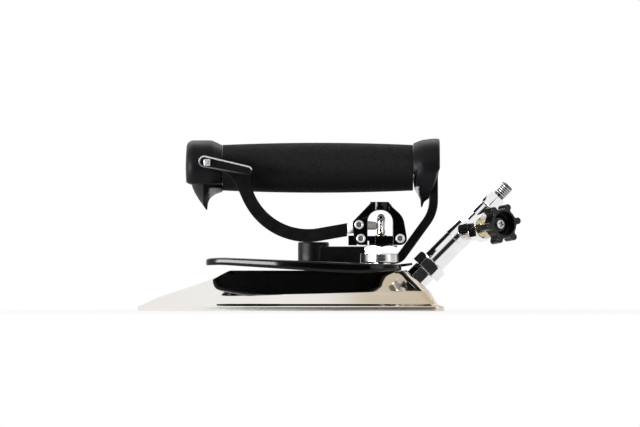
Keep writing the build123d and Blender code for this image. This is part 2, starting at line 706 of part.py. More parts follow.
# Handle base with its round front boss, rebated over the bracket's foot
base_rear = FOOT_BEND_X - BASE_SETBACK
with BuildPart() as handle_base:
    with BuildSketch(Plane.XY.offset(BODY_TOP)):
        with Locations(((BASE_FRONT_X + base_rear) / 2, 0)):
            Rectangle(base_rear - BASE_FRONT_X, BASE_WIDTH)
    extrude(amount=BASE_TOP - BODY_TOP)
    fillet(handle_base.edges().filter_by(Axis.X).group_by(Axis.Z)[-1], radius=BASE_EDGE_R)
    with Locations((BASE_FRONT_X, 0, BODY_TOP)):
        Cylinder(BOSS_R, BOSS_TOP - BODY_TOP, align=BASE)
    fillet(handle_base.faces().sort_by(Axis.Z)[-1].outer_wire().edges(), radius=BOSS_EDGE_R)
    split(bisect_by=shield_plane(0), keep=Keep.TOP)
    with BuildSketch(shield_plane(0)):
        with Locations((FOOT_END_X - 2 * BOLT, 0)):
            Rectangle(THROUGH, THROUGH, align=(Align.MIN, Align.CENTER))
    extrude(amount=FOOT_RISE + BRACKET_THICKNESS + SEAT, mode=Mode.SUBTRACT)
    with Locations(*[(x, 0, HEAD_SEAT_Z) for x in BASE_SCREW_XS]):
        Cylinder(BASE_HEAD_R + 2 * BOLT, THROUGH, align=BASE, mode=Mode.SUBTRACT)
    with Locations(*[(x, 0, HEAD_SEAT_Z) for x in BASE_SCREW_XS]):
        Cylinder(BASE_SCREW_R + BOLT, THROUGH, mode=Mode.SUBTRACT)

# Bracket: bent flat bar from the foot on the shield up into the rear cap
foot_mid = FOOT_RISE + BRACKET_THICKNESS / 2
with BuildPart() as handle_bracket:
    with BuildSketch(Plane.XZ):
        with BuildLine():
            FilletPolyline(
                (FOOT_END_X, shield_top(FOOT_END_X) + foot_mid),
                (FOOT_BEND_X, shield_top(FOOT_BEND_X) + foot_mid),
                (BRACKET_X, HANDLE_Z - BRACKET_BEND_DROP),
                (BRACKET_X, BRACKET_TOP),
                radius=(FOOT_BEND_R, BRACKET_BEND_R),
            )
        trace(line_width=BRACKET_THICKNESS)
    extrude(amount=BRACKET_WIDTH / 2, both=True)
    chamfer(handle_bracket.edges().group_by(Axis.Y)[0], length=BRACKET_EDGE)
    chamfer(handle_bracket.edges().group_by(Axis.Y)[-1], length=BRACKET_EDGE)
    with Locations(*[(x, 0, HEAD_SEAT_Z) for x in BASE_SCREW_XS[2:]]):
        Cylinder(BASE_SCREW_R + BOLT, THROUGH, mode=Mode.SUBTRACT)
    with Locations(Plane(origin=(BRACKET_X, 0, HANDLE_Z), z_dir=(1, 0, 0))):
        Cylinder(HANDLE_BOLT_R + BOLT, THROUGH, mode=Mode.SUBTRACT)
    with Locations(Plane(origin=(BRACKET_X + BRACKET_THICKNESS / 2, 0, HANDLE_Z), z_dir=(-1, 0, 0))):
        sink = HANDLE_BOLT_HEAD_R - HANDLE_BOLT_R
        Cone(HANDLE_BOLT_HEAD_R + BOLT, HANDLE_BOLT_R + BOLT, sink, align=BASE, mode=Mode.SUBTRACT)

# Base screws: three alike, through base, shield and spacers into the body
with BuildPart() as base_screws:
    with Locations(*[(x, 0, HEAD_SEAT_Z) for x in BASE_SCREW_XS]):
        Cylinder(BASE_HEAD_R, BASE_HEAD_HEIGHT, align=BASE)
        Cylinder(BASE_SCREW_R, HEAD_SEAT_Z - BODY_TOP + BASE_SCREW_DEPTH, align=TIP)
    with BuildSketch(Plane.XY.offset(HEAD_SEAT_Z + BASE_HEAD_HEIGHT)):
        with Locations(*[(x, 0) for x in BASE_SCREW_XS]):
            RegularPolygon(BASE_SOCKET_AF / 2, 6, major_radius=False)
    extrude(amount=-BASE_SOCKET_DEPTH, mode=Mode.SUBTRACT)

# Handle core tube and its rear plug
core_rear = BRACKET_X - BRACKET_THICKNESS / 2 - SEAT
core_front = GRIP_FRONT - CORE_FRONT_REACH
handle_axis = Plane(origin=(0, 0, HANDLE_Z), x_dir=(0, 1, 0), z_dir=(1, 0, 0))
with BuildPart() as handle_core:
    with BuildSketch(handle_axis.offset(core_front)):
        Circle(CORE_R)
        Circle(CORE_R - CORE_WALL, mode=Mode.SUBTRACT)
    extrude(amount=core_rear - core_front)

with BuildPart() as core_plug:
    with BuildSketch(handle_axis.offset(core_rear - PLUG_LENGTH)):
        Circle(CORE_R - CORE_WALL - SEAT)
        Circle(HANDLE_BOLT_R + SEAT, mode=Mode.SUBTRACT)
    extrude(amount=PLUG_LENGTH)

with BuildPart() as handle_bolt:
    with Locations(Plane(origin=(BRACKET_X + BRACKET_THICKNESS / 2, 0, HANDLE_Z), z_dir=(-1, 0, 0))):
        Cone(HANDLE_BOLT_HEAD_R, HANDLE_BOLT_R, HANDLE_BOLT_HEAD_R - HANDLE_BOLT_R, align=BASE)
        Cylinder(HANDLE_BOLT_R, HANDLE_BOLT_LENGTH, align=BASE)

# Foam grip: a barrel-shaped sleeve on the core tube
with BuildPart() as grip_sleeve:
    with BuildSketch(Plane.XZ):
        with BuildLine():
            Line((GRIP_FRONT, HANDLE_Z), (GRIP_FRONT, HANDLE_Z + GRIP_END_R))
            ThreePointArc(
                (GRIP_FRONT, HANDLE_Z + GRIP_END_R),
                ((GRIP_FRONT + GRIP_REAR) / 2, HANDLE_Z + GRIP_MID_R),
                (GRIP_REAR, HANDLE_Z + GRIP_END_R),
            )
            Line((GRIP_REAR, HANDLE_Z + GRIP_END_R), (GRIP_REAR, HANDLE_Z))
            Line((GRIP_REAR, HANDLE_Z), (GRIP_FRONT, HANDLE_Z))
        make_face()
    revolve(axis=Axis((0, 0, HANDLE_Z), (1, 0, 0)))
    fillet(grip_sleeve.edges().filter_by(GeomType.CIRCLE), radius=GRIP_EDGE_R)
    with BuildSketch(handle_axis.offset(GRIP_FRONT)):
        Circle(CORE_R + SEAT)
    extrude(amount=GRIP_LENGTH, mode=Mode.SUBTRACT)

# Front cap: bell with a domed front, cut below, and its finger guard
cap_back = GRIP_FRONT - CAP_GAP
cap_front = cap_back - FRONT_CAP_LENGTH
with BuildPart() as front_cap:
    with BuildSketch(Plane.XZ):
        with BuildLine():
            FilletPolyline(
                (cap_back, HANDLE_Z),
                (cap_back, HANDLE_Z + FRONT_CAP_NECK_R),
                (cap_back - FRONT_CAP_NECK, HANDLE_Z + FRONT_CAP_R),
                (cap_front + FRONT_CAP_DOME, HANDLE_Z + FRONT_CAP_R),
                (cap_front, HANDLE_Z),
                radius=(FRONT_CAP_LIP_R, FRONT_CAP_SHOULDER_R, FRONT_CAP_EDGE_R),
            )
            Line((cap_front, HANDLE_Z), (cap_back, HANDLE_Z))
        make_face()
    revolve(axis=Axis((0, 0, HANDLE_Z), (1, 0, 0)))
    split(bisect_by=Plane.XY.offset(HANDLE_Z - FRONT_CUT), keep=Keep.TOP)
    guard(FRONT_GUARD, cap_front)
    with BuildSketch(handle_axis.offset(cap_back)):
        Circle(CORE_R + SEAT)
    extrude(amount=core_front - SEAT - cap_back, mode=Mode.SUBTRACT)

# Rear cap: bell flaring to the rear, with its finger guard and a pocket for the bracket
rear_start = GRIP_REAR + CAP_GAP
rear_end = rear_start + REAR_CAP_LENGTH
with BuildPart() as rear_cap:
    with BuildSketch(Plane.XZ):
        with BuildLine():
            Line((rear_start, HANDLE_Z), (rear_start, HANDLE_Z + REAR_CAP_NECK_R))
            flank = ThreePointArc(
                (rear_start, HANDLE_Z + REAR_CAP_NECK_R),
                (rear_start + REAR_CAP_MID, HANDLE_Z + REAR_CAP_MID_R),
                (rear_end - REAR_CAP_EDGE, HANDLE_Z + REAR_CAP_R),
            )
            edge_point = (rear_end, HANDLE_Z + REAR_CAP_R - REAR_CAP_EDGE)
            TangentArc(flank @ 1, edge_point, tangent=flank % 1)
            Line(edge_point, (rear_end - REAR_CAP_DISH, HANDLE_Z))
            Line((rear_end - REAR_CAP_DISH, HANDLE_Z), (rear_start, HANDLE_Z))
        make_face()
    revolve(axis=Axis((0, 0, HANDLE_Z), (1, 0, 0)))
    split(bisect_by=Plane.XY.offset(HANDLE_Z - REAR_CUT), keep=Keep.TOP)
    guard(REAR_GUARD, rear_start)
    with BuildSketch(handle_axis.offset(rear_start)):
        Circle(CORE_R + SEAT)
    extrude(amount=core_rear + SEAT - rear_start, mode=Mode.SUBTRACT)
    with BuildSketch(Plane.XZ):
        with Locations((BRACKET_X, BRACKET_TOP + SEAT)):
            Rectangle(BRACKET_THICKNESS + 2 * SEAT, THROUGH, align=(Align.CENTER, Align.MAX))
        with Locations((BRACKET_X, HANDLE_Z - REAR_CUT)):
            Rectangle(2 * BRACKET_THICKNESS, THROUGH, align=(Align.MIN, Align.MAX))
    extrude(amount=BRACKET_WIDTH / 2 + BOLT, both=True, mode=Mode.SUBTRACT)

# Inlet adapter, union nut and gasket on the rear slope
with BuildPart() as inlet_adapter:
    chamfered_hex(inlet_plane(INLET_SEAT), ADAPTER_AF, ADAPTER_LENGTH)
    with Locations(inlet_plane(INLET_SEAT)):
        Cylinder(SPIGOT_R, SPIGOT_DEPTH, align=TIP)
    with Locations(inlet_plane(INLET_SEAT)):
        Cylinder(INLET_BORE_R, THROUGH, mode=Mode.SUBTRACT)

with BuildPart() as union_gasket:
    with BuildSketch(inlet_plane(INLET_SEAT + ADAPTER_LENGTH)):
        Circle(ADAPTER_AF / 2 - GASKET_INSET)
        Circle(INLET_BORE_R, mode=Mode.SUBTRACT)
    extrude(amount=GASKET_THICKNESS)

with BuildPart() as inlet_nut:
    chamfered_hex(inlet_plane(NUT_START), INLET_NUT_AF, INLET_NUT_LENGTH)
    with Locations(inlet_plane(NUT_START)):
        Cylinder(PIPE_TAIL_R + SEAT, THROUGH, mode=Mode.SUBTRACT)

# Steam pipe
with BuildPart() as steam_pipe:
    with BuildSketch(inlet_plane(TAIL_START)):
        Circle(PIPE_TAIL_R)
    extrude(amount=NUT_END + SEAT - TAIL_START)
    with BuildSketch(inlet_plane(NUT_END + SEAT)):
        Circle(PIPE_R)
    extrude(amount=PIPE_END - NUT_END - SEAT)
    with Locations(inlet_plane(NUT_START)):
        Cylinder(INLET_BORE_R, 4 * THROUGH, mode=Mode.SUBTRACT)

# Control valve body: run, cone, hose neck and collar, with the branch for the spindle
branch_hole = Plane(origin=BRANCH_FOOT, z_dir=BRANCH_AXIS)
with BuildPart() as control_body:
    with Locations(inlet_plane(PIPE_END)):
        Cylinder(RUN_BARREL_R, RUN_BARREL_END - PIPE_END, align=BASE)
    with Locations(inlet_plane(RUN_BARREL_END)):
        Cone(RUN_BARREL_R, NECK_R, RUN_CONE_END - RUN_BARREL_END, align=BASE)
    with Locations(inlet_plane(RUN_CONE_END)):
        Cylinder(NECK_R, NECK_END - RUN_CONE_END, align=BASE)
    with Locations(inlet_plane(NECK_END)):
        Cylinder(COLLAR_R, COLLAR_END - NECK_END, align=BASE)
    with Locations(branch_hole):
        Cylinder(BRANCH_R, BRANCH_LENGTH, align=BASE)
    with Locations(inlet_plane(PIPE_END)):
        Cylinder(INLET_BORE_R, 4 * THROUGH, mode=Mode.SUBTRACT)
    with Locations(branch_hole):
        Cylinder(BRANCH_BORE_R, BRANCH_LENGTH + 1.0, align=BASE, mode=Mode.SUBTRACT)

# Hose nipple and its washer
with BuildPart() as nipple_washer:
    with BuildSketch(inlet_plane(COLLAR_END)):
        Circle(COLLAR_R - WASHER_INSET)
        Circle(HOSE_BORE_R, mode=Mode.SUBTRACT)
    extrude(amount=WASHER_THICKNESS)

with BuildPart() as hose_nipple:
    chamfered_hex(inlet_plane(HEX_START), NIPPLE_AF, NIPPLE_HEX_LENGTH)
    with Locations(inlet_plane(HEX_END)):
        Cylinder(THREAD_R - RELIEF_DEPTH, RELIEF_LENGTH, align=BASE)
    with Locations(inlet_plane(HEX_END + RELIEF_LENGTH)):
        Cylinder(THREAD_R, THREAD_LENGTH, align=BASE)
    with Locations(inlet_plane(HEX_START)):
        Cylinder(HOSE_BORE_R, 4 * THROUGH, mode=Mode.SUBTRACT)

# Bonnet nut, brass gland and packing of the control valve
with BuildPart() as bonnet_nut:
    chamfered_hex(branch_plane(BONNET_START), BONNET_AF, BONNET_LENGTH, 30)
    with Locations(branch_plane(BONNET_START)):
        Cylinder(SPINDLE_R + SPINDLE_ROOM, THROUGH, mode=Mode.SUBTRACT)
    with Locations(branch_plane(BONNET_END)):
        Cylinder(PACKING_R, SPINDLE_PACKING_HEIGHT + GLAND_SPIGOT, align=TIP, mode=Mode.SUBTRACT)

with BuildPart() as spindle_packing:
    with BuildSketch(branch_plane(BONNET_END - SPINDLE_PACKING_HEIGHT - GLAND_SPIGOT)):
        Circle(PACKING_R - SEAT)
        Circle(SPINDLE_R + RUN, mode=Mode.SUBTRACT)
    extrude(amount=SPINDLE_PACKING_HEIGHT)

with BuildPart() as spindle_gland:
    chamfered_hex(branch_plane(BONNET_END + SEAT), GLAND_AF, GLAND_LENGTH - SEAT, 30)
    with Locations(branch_plane(BONNET_END + SEAT)):
        Cylinder(PACKING_R - SEAT, GLAND_SPIGOT, align=TIP)
    with Locations(branch_plane(BONNET_END)):
        Cylinder(SPINDLE_R + RUN, THROUGH, mode=Mode.SUBTRACT)

# Spindle with its plug
with BuildPart() as control_spindle:
    with Locations(branch_plane(PLUG_START)):
        Cylinder(PLUG_R, PLUG_HEIGHT, align=BASE)
        Cylinder(SPINDLE_R, DOME_TOP - SPINDLE_SHORT - PLUG_START, align=BASE)
    with Locations(branch_plane(DOME_TOP - SPINDLE_SHORT)):
        Cylinder(WHEEL_SCREW_SHANK_R + SEAT, WHEEL_SCREW_LENGTH, align=TIP, mode=Mode.SUBTRACT)

# Hand wheel: six lobes, dished front with a domed hub
with BuildPart() as hand_wheel:
    with BuildSketch(branch_plane(WHEEL_START)):
        Circle(WHEEL_DISC_R)
        with PolarLocations(LOBE_PITCH_R, LOBE_COUNT):
            Circle(LOBE_R)
        fillet(vertices(), radius=LOBE_ROOT_R)
    extrude(amount=WHEEL_THICKNESS)
    fillet(hand_wheel.faces().sort_by(Axis((0, 0, 0), BRANCH_AXIS))[-1].edges(), radius=LOBE_EDGE_R)
    with Locations(branch_plane(WHEEL_END)):
        Cylinder(DISH_R, DISH_DEPTH, align=TIP, mode=Mode.SUBTRACT)
    with Locations(branch_plane(WHEEL_END - DISH_DEPTH)):
        Cone(DOME_R, DOME_R - DOME_HEIGHT, DOME_HEIGHT, align=BASE)
    with Locations(branch_plane(HUB_START)):
        Cylinder(WHEEL_HUB_R, WHEEL_BACK + WHEEL_THICKNESS - DISH_DEPTH, align=BASE)
    with Locations(branch_plane(HUB_START)):
        Cylinder(SPINDLE_R + SEAT, THROUGH, mode=Mode.SUBTRACT)

with BuildPart() as wheel_screw:
    with Locations(branch_plane(DOME_TOP)):
        Cylinder(WHEEL_SCREW_R, WHEEL_SCREW_HEIGHT, align=BASE)
        Cylinder(WHEEL_SCREW_SHANK_R, WHEEL_SCREW_LENGTH, align=TIP)
    fillet(wheel_screw.edges().sort_by(Axis((0, 0, 0), BRANCH_AXIS))[-1], radius=WHEEL_SCREW_EDGE_R)

# Steam valve body in the top of the casting
valve_foot = BODY_TOP - VALVE_SPIGOT_DEPTH
valve_axis = Plane(origin=(VALVE_X, VALVE_Y, 0))
with BuildPart() as valve_body:
    with BuildSketch(valve_axis.offset(valve_foot)):
        Circle(VALVE_SPIGOT_R)
    extrude(amount=VALVE_SPIGOT_DEPTH)
    with BuildSketch(valve_axis.offset(BODY_TOP + SEAT)):
        Circle(VALVE_STUB_R)
    extrude(amount=COLLAR_BOTTOM - BODY_TOP - SEAT)
    with BuildSketch(valve_axis.offset(BODY_TOP)):
        Circle(VALVE_SPIGOT_R)
    extrude(amount=SEAT)
    with BuildSketch(valve_axis.offset(COLLAR_BOTTOM)):
        Circle(VALVE_COLLAR_R)
    extrude(amount=VALVE_COLLAR_HEIGHT)
    fillet(valve_body.edges().filter_by(GeomType.CIRCLE).group_by(SortBy.RADIUS)[-1], radius=VALVE_COLLAR_EDGE_R)
    with BuildSketch(valve_axis.offset(COLLAR_TOP)):
        Circle(VALVE_NECK_R)
    extrude(amount=VALVE_NECK_HEIGHT)
    with BuildSketch(valve_axis.offset(VALVE_SEAT_Z)):
        Circle(VALVE_BORE_R)
    extrude(amount=THROUGH, mode=Mode.SUBTRACT)
    with BuildSketch(valve_axis.offset(valve_foot)):
        Circle(SEAT_BORE_R)
    extrude(amount=THROUGH, mode=Mode.SUBTRACT)
    with Locations(supply_plane):
        Cylinder(SUPPLY_R, supply_length, align=BASE, mode=Mode.SUBTRACT)

# Union nut, one corner toward the viewer
with BuildPart() as union_nut:
    chamfered_hex(valve_axis.offset(UNION_BOTTOM), UNION_AF, UNION_HEIGHT, 30)
    with BuildSketch(valve_axis.offset(UNION_BOTTOM)):
        Circle(VALVE_NECK_R + SEAT)
    extrude(amount=FLANGE_TOP + SEAT - UNION_BOTTOM, mode=Mode.SUBTRACT)
    with BuildSketch(valve_axis.offset(UNION_BOTTOM)):
        Circle(HEAD_NECK_R + BOLT)
    extrude(amount=UNION_HEIGHT, mode=Mode.SUBTRACT)

# Valve head: hexagon with two ears for the yoke
left_ear = (VALVE_X - LEFT_EAR, EAR_Z)
right_ear = (VALVE_X + RIGHT_EAR, EAR_Z)
pivot_point = (PIVOT_X, PIVOT_Z)
yoke_mid = Plane.XZ.offset(-VALVE_Y)
with BuildPart() as valve_head:
    with BuildSketch(valve_axis.offset(HEAD_BOTTOM)):
        RegularPolygon(HEAD_AF / 2, 6, major_radius=False)
    extrude(amount=HEAD_HEIGHT)
    chamfer(valve_head.edges().group_by(Axis.Z)[0], length=HEAD_EDGE)
    with BuildSketch(valve_axis.offset(FLANGE_BOTTOM)):
        Circle(VALVE_NECK_R - FLANGE_INSET)
    extrude(amount=HEAD_FLANGE)
    with BuildSketch(valve_axis.offset(FLANGE_TOP)):
        Circle(HEAD_NECK_R)
    extrude(amount=HEAD_BOTTOM - FLANGE_TOP)
    with BuildSketch(yoke_mid):
        with Locations(left_ear, right_ear):
            Circle(EAR_R)
        with Locations(((left_ear[0] + right_ear[0]) / 2, EAR_Z)):
            Rectangle(RIGHT_EAR + LEFT_EAR, 2 * (HEAD_TOP - EAR_Z))
    extrude(amount=EAR_WIDTH / 2, both=True)
    with BuildSketch(yoke_mid):
        with Locations(left_ear, right_ear):
            Circle(YOKE_SCREW_R + BOLT)
    extrude(amount=EAR_WIDTH, both=True, mode=Mode.SUBTRACT)
    with BuildSketch(valve_axis.offset(FLANGE_BOTTOM)):
        Circle(STEM_R + RUN)
    extrude(amount=THROUGH, mode=Mode.SUBTRACT)
    with BuildSketch(valve_axis.offset(HEAD_TOP)):
        Circle(PACKING_R + SEAT)
    extrude(amount=-PACKING_HEIGHT - GLAND_RING_HEIGHT, mode=Mode.SUBTRACT)

packing_z = HEAD_TOP - PACKING_HEIGHT - GLAND_RING_HEIGHT
with BuildPart() as stem_packing:
    with BuildSketch(valve_axis.offset(packing_z)):
        Circle(PACKING_R)
        Circle(STEM_R + RUN, mode=Mode.SUBTRACT)
    extrude(amount=PACKING_HEIGHT)

with BuildPart() as gland_ring:
    with BuildSketch(valve_axis.offset(packing_z + PACKING_HEIGHT)):
        Circle(PACKING_R)
        Circle(STEM_R + RUN, mode=Mode.SUBTRACT)
    extrude(amount=GLAND_RING_HEIGHT + 0.5)

# Yoke: two cheeks joined by a round crown, hollow under the arch
with BuildPart() as yoke:
    with BuildSketch(yoke_mid):
        with BuildLine():
            for centre, radius in (
                (left_ear, BOSS_CIRCLE_R),
                (right_ear, BOSS_CIRCLE_R),
                (pivot_point, BOSS_CIRCLE_R),
                ((VALVE_X - CROWN_LEFT, EAR_Z + YOKE_TOP - CROWN_EDGE_R), CROWN_EDGE_R),
                ((VALVE_X + CROWN_RIGHT, EAR_Z + YOKE_TOP - CROWN_EDGE_R), CROWN_EDGE_R),
                ((VALVE_X + SHOULDER_REACH, EAR_Z + SHOULDER_RISE), SHOULDER_R),
            ):
                CenterArc(centre, radius, 0, 360)
        make_hull()
        with BuildLine():
            FilletPolyline(
                (VALVE_X - YOKE_WINDOW_LEFT, EAR_Z - WINDOW_DROP),
                (VALVE_X - YOKE_WINDOW_LEFT, EAR_Z + YOKE_WINDOW_TOP),
                (VALVE_X + YOKE_WINDOW_RIGHT, EAR_Z + YOKE_WINDOW_TOP),
                (VALVE_X + YOKE_WINDOW_RIGHT, EAR_Z - WINDOW_DROP),
                radius=YOKE_WINDOW_R,
            )
            Line(
                (VALVE_X + YOKE_WINDOW_RIGHT, EAR_Z - WINDOW_DROP),
                (VALVE_X - YOKE_WINDOW_LEFT, EAR_Z - WINDOW_DROP),
            )
        make_face(mode=Mode.SUBTRACT)
    extrude(amount=CHEEK_OUTER, both=True)
    chamfer(yoke.edges().group_by(Axis.Y)[0], length=CHEEK_EDGE)
    chamfer(yoke.edges().group_by(Axis.Y)[-1], length=CHEEK_EDGE)
    with BuildSketch(yoke_mid):
        with Locations(left_ear, right_ear, pivot_point):
            Circle(YOKE_SCREW_R + BOLT)
    extrude(amount=CHEEK_OUTER, both=True, mode=Mode.SUBTRACT)
    with BuildSketch(yoke_mid):
        with Locations((VALVE_X, EAR_Z)):
            Rectangle(2 * THROUGH, 2 * THROUGH)
    extrude(amount=CHEEK_INNER, both=True, mode=Mode.SUBTRACT)
    with BuildSketch(yoke_mid):
        with Locations((VALVE_X, EAR_Z + YOKE_WINDOW_TOP)):
            Rectangle(CROWN_WIDTH, THROUGH, align=(Align.CENTER, Align.MIN))
    extrude(amount=CHEEK_OUTER, both=True, mode=Mode.SUBTRACT)
    with BuildSketch(valve_axis.offset(EAR_Z + YOKE_WINDOW_TOP)):
        Circle(YOKE_CROWN_R)
    extrude(amount=YOKE_TOP - YOKE_WINDOW_TOP)
    with Locations((VALVE_X - LEFT_EAR - LUG_ROOT, VALVE_Y + CHEEK_INNER, EAR_Z - LUG_DROP)):
        Box(
            LUG_REACH - LEFT_EAR - LUG_ROOT,
            CHEEK_THICKNESS,
            LUG_DROP + LUG_RISE,
            align=(Align.MAX, Align.MIN, Align.MIN),
        )

# Pivot screw, clamp screws and their nuts
screw_face = Plane.XZ.offset(-VALVE_Y + CHEEK_OUTER)
screw_reach = 2 * CHEEK_OUTER + YOKE_NUT_HEIGHT + 1.0


def socket_screws(points):
    """Socket-head screws through the yoke, heads toward the viewer."""
    with BuildSketch(screw_face) as heads:
        with Locations(*points):
            Circle(YOKE_HEAD_R)
    extrude(heads.sketch, amount=YOKE_HEAD_HEIGHT)
    with BuildSketch(screw_face) as shanks:
        with Locations(*points):
            Circle(YOKE_SCREW_R)
    extrude(shanks.sketch, amount=-screw_reach)
    with BuildSketch(screw_face.offset(YOKE_HEAD_HEIGHT)) as sockets:
        with Locations(*points):
            RegularPolygon(YOKE_SOCKET_AF / 2, 6, major_radius=False)
    extrude(sockets.sketch, amount=-YOKE_SOCKET_DEPTH, mode=Mode.SUBTRACT)


with BuildPart() as pivot_screw:
    socket_screws([pivot_point])
    fillet(pivot_screw.edges().filter_by(GeomType.CIRCLE).group_by(Axis.Y)[0], radius=YOKE_HEAD_EDGE_R)

with BuildPart() as yoke_screws:
    socket_screws([left_ear, right_ear])
    fillet(yoke_screws.edges().filter_by(GeomType.CIRCLE).group_by(Axis.Y)[0], radius=YOKE_HEAD_EDGE_R)

with BuildPart() as yoke_nuts:
    with BuildSketch(Plane.XZ.offset(-VALVE_Y - CHEEK_OUTER)):
        with Locations(left_ear, right_ear, pivot_point):
            RegularPolygon(YOKE_NUT_AF / 2, 6, major_radius=False)
            Circle(YOKE_SCREW_R + SEAT, mode=Mode.SUBTRACT)
    extrude(amount=-YOKE_NUT_HEIGHT)

# Lever arm: an arc beside the grip, flaring into the head that carries the tab
arm_angle = radians(ARM_ARC_END)
arm_run = Vector(-sin(arm_angle), cos(arm_angle))
arm_end_x = PIVOT_X - ARM_END_BACK
tab_front = (PIVOT_X - TAB_FRONT_BACK, PIVOT_Z + TAB_FRONT_UP)
tab_rear = (PIVOT_X - TAB_REAR_BACK, PIVOT_Z + TAB_REAR_UP)


def arm_point(radius, angle):
    """Point on an arc of the arm."""
    turn = radians(angle)
    return Vector(ARM_CENTRE_X + radius * cos(turn), ARM_CENTRE_Z + radius * sin(turn))


def arm_end(radius):
    """Where an edge of the arm's straight end stretch meets its end face."""
    start = arm_point(radius, ARM_ARC_END)
    return start + arm_run * ((arm_end_x - start.X) / arm_run.X)


flare_end = Vector(tab_front[0] + FLARE_BACK, tab_front[1] - TAB_FRONT_R - FLARE_DROP)
tail_mid = (arm_end(ARM_INNER_R) + arm_end(ARM_OUTER_R)) * 0.5
tail_tilt = ARM_ARC_END - 270.0
with BuildPart() as lever_arm:
    with BuildSketch(yoke_mid):
        with BuildLine():
            inner = ThreePointArc(
                arm_point(ARM_INNER_R, ARM_INNER_START),
                arm_point(ARM_INNER_R, (ARM_INNER_START + ARM_ARC_END) / 2),
                arm_point(ARM_INNER_R, ARM_ARC_END),
            )
            Line(inner @ 1, arm_end(ARM_INNER_R))
            Line(arm_end(ARM_INNER_R), arm_end(ARM_OUTER_R))
            Line(arm_end(ARM_OUTER_R), arm_point(ARM_OUTER_R, ARM_ARC_END))
            outer = ThreePointArc(
                arm_point(ARM_OUTER_R, ARM_ARC_END),
                arm_point(ARM_OUTER_R, (ARM_OUTER_START + ARM_ARC_END) / 2),
                arm_point(ARM_OUTER_R, ARM_OUTER_START),
            )
            flare = Spline(outer @ 1, flare_end, tangents=(outer % 1, FLARE_WAY))
            Line(flare @ 1, (tab_front[0] + FLARE_TOP, tab_front[1]))
            Line((tab_front[0] + FLARE_TOP, tab_front[1]), (tab_rear[0], tab_rear[1]))
            Line((tab_rear[0], tab_rear[1]), inner @ 0)
        make_face()
    extrude(amount=ARM_THICKNESS / 2, both=True)
    with BuildSketch(yoke_mid):
        with BuildLine():
            CenterArc(tab_front, TAB_FRONT_R, 0, 360)
            CenterArc(tab_rear, TAB_REAR_R, 0, 360)
        make_hull()
    extrude(amount=ARM_THICKNESS / 2, both=True)
    chamfer(lever_arm.edges().group_by(Axis.Y)[0], length=ARM_EDGE)
    chamfer(lever_arm.edges().group_by(Axis.Y)[-1], length=ARM_EDGE)
    with BuildSketch(yoke_mid):
        with Locations(Location((tail_mid.X, tail_mid.Y), tail_tilt)):
            Rectangle(2 * TANG_TAIL_LENGTH + 2 * SEAT, TANG_TAIL_HEIGHT + 2 * SEAT)
    extrude(amount=TANG_TAIL / 2 + SEAT, both=True, mode=Mode.SUBTRACT)

# Thumb tab on the head, with a shallow recess, and the square rivet that holds it
tab_face = Plane.XZ.offset(-VALVE_Y + ARM_THICKNESS / 2 + SEAT)
rivet_point = (PIVOT_X - RIVET_BACK, PIVOT_Z + RIVET_UP)
with BuildPart() as thumb_tab:
    with BuildSketch(tab_face):
        with BuildLine():
            CenterArc(tab_front, TAB_FRONT_R, 0, 360)
            CenterArc(tab_rear, TAB_REAR_R, 0, 360)
        make_hull()
    extrude(amount=TAB_DEPTH)
    fillet(thumb_tab.faces().sort_by(Axis.Y)[0].edges(), radius=0.5)
    with BuildSketch(tab_face.offset(TAB_DEPTH)):
        with BuildLine():
            CenterArc(tab_front, TAB_FRONT_R - TAB_RIM, 0, 360)
            CenterArc(tab_rear, TAB_REAR_R - TAB_RIM, 0, 360)
        make_hull()
    extrude(amount=-TAB_RECESS, mode=Mode.SUBTRACT)
    with BuildSketch(tab_face):
        with Locations(rivet_point):
            Rectangle(RIVET_SIDE + 2 * SEAT, RIVET_SIDE + 2 * SEAT)
    extrude(amount=TAB_DEPTH, mode=Mode.SUBTRACT)

with BuildPart() as tab_rivet:
    with BuildSketch(tab_face):
        with Locations(rivet_point):
            Rectangle(RIVET_SIDE, RIVET_SIDE)
    extrude(amount=TAB_DEPTH + RIVET_PROUD)
    chamfer(tab_rivet.faces().sort_by(Axis.Y)[0].edges(), length=RIVET_EDGE)

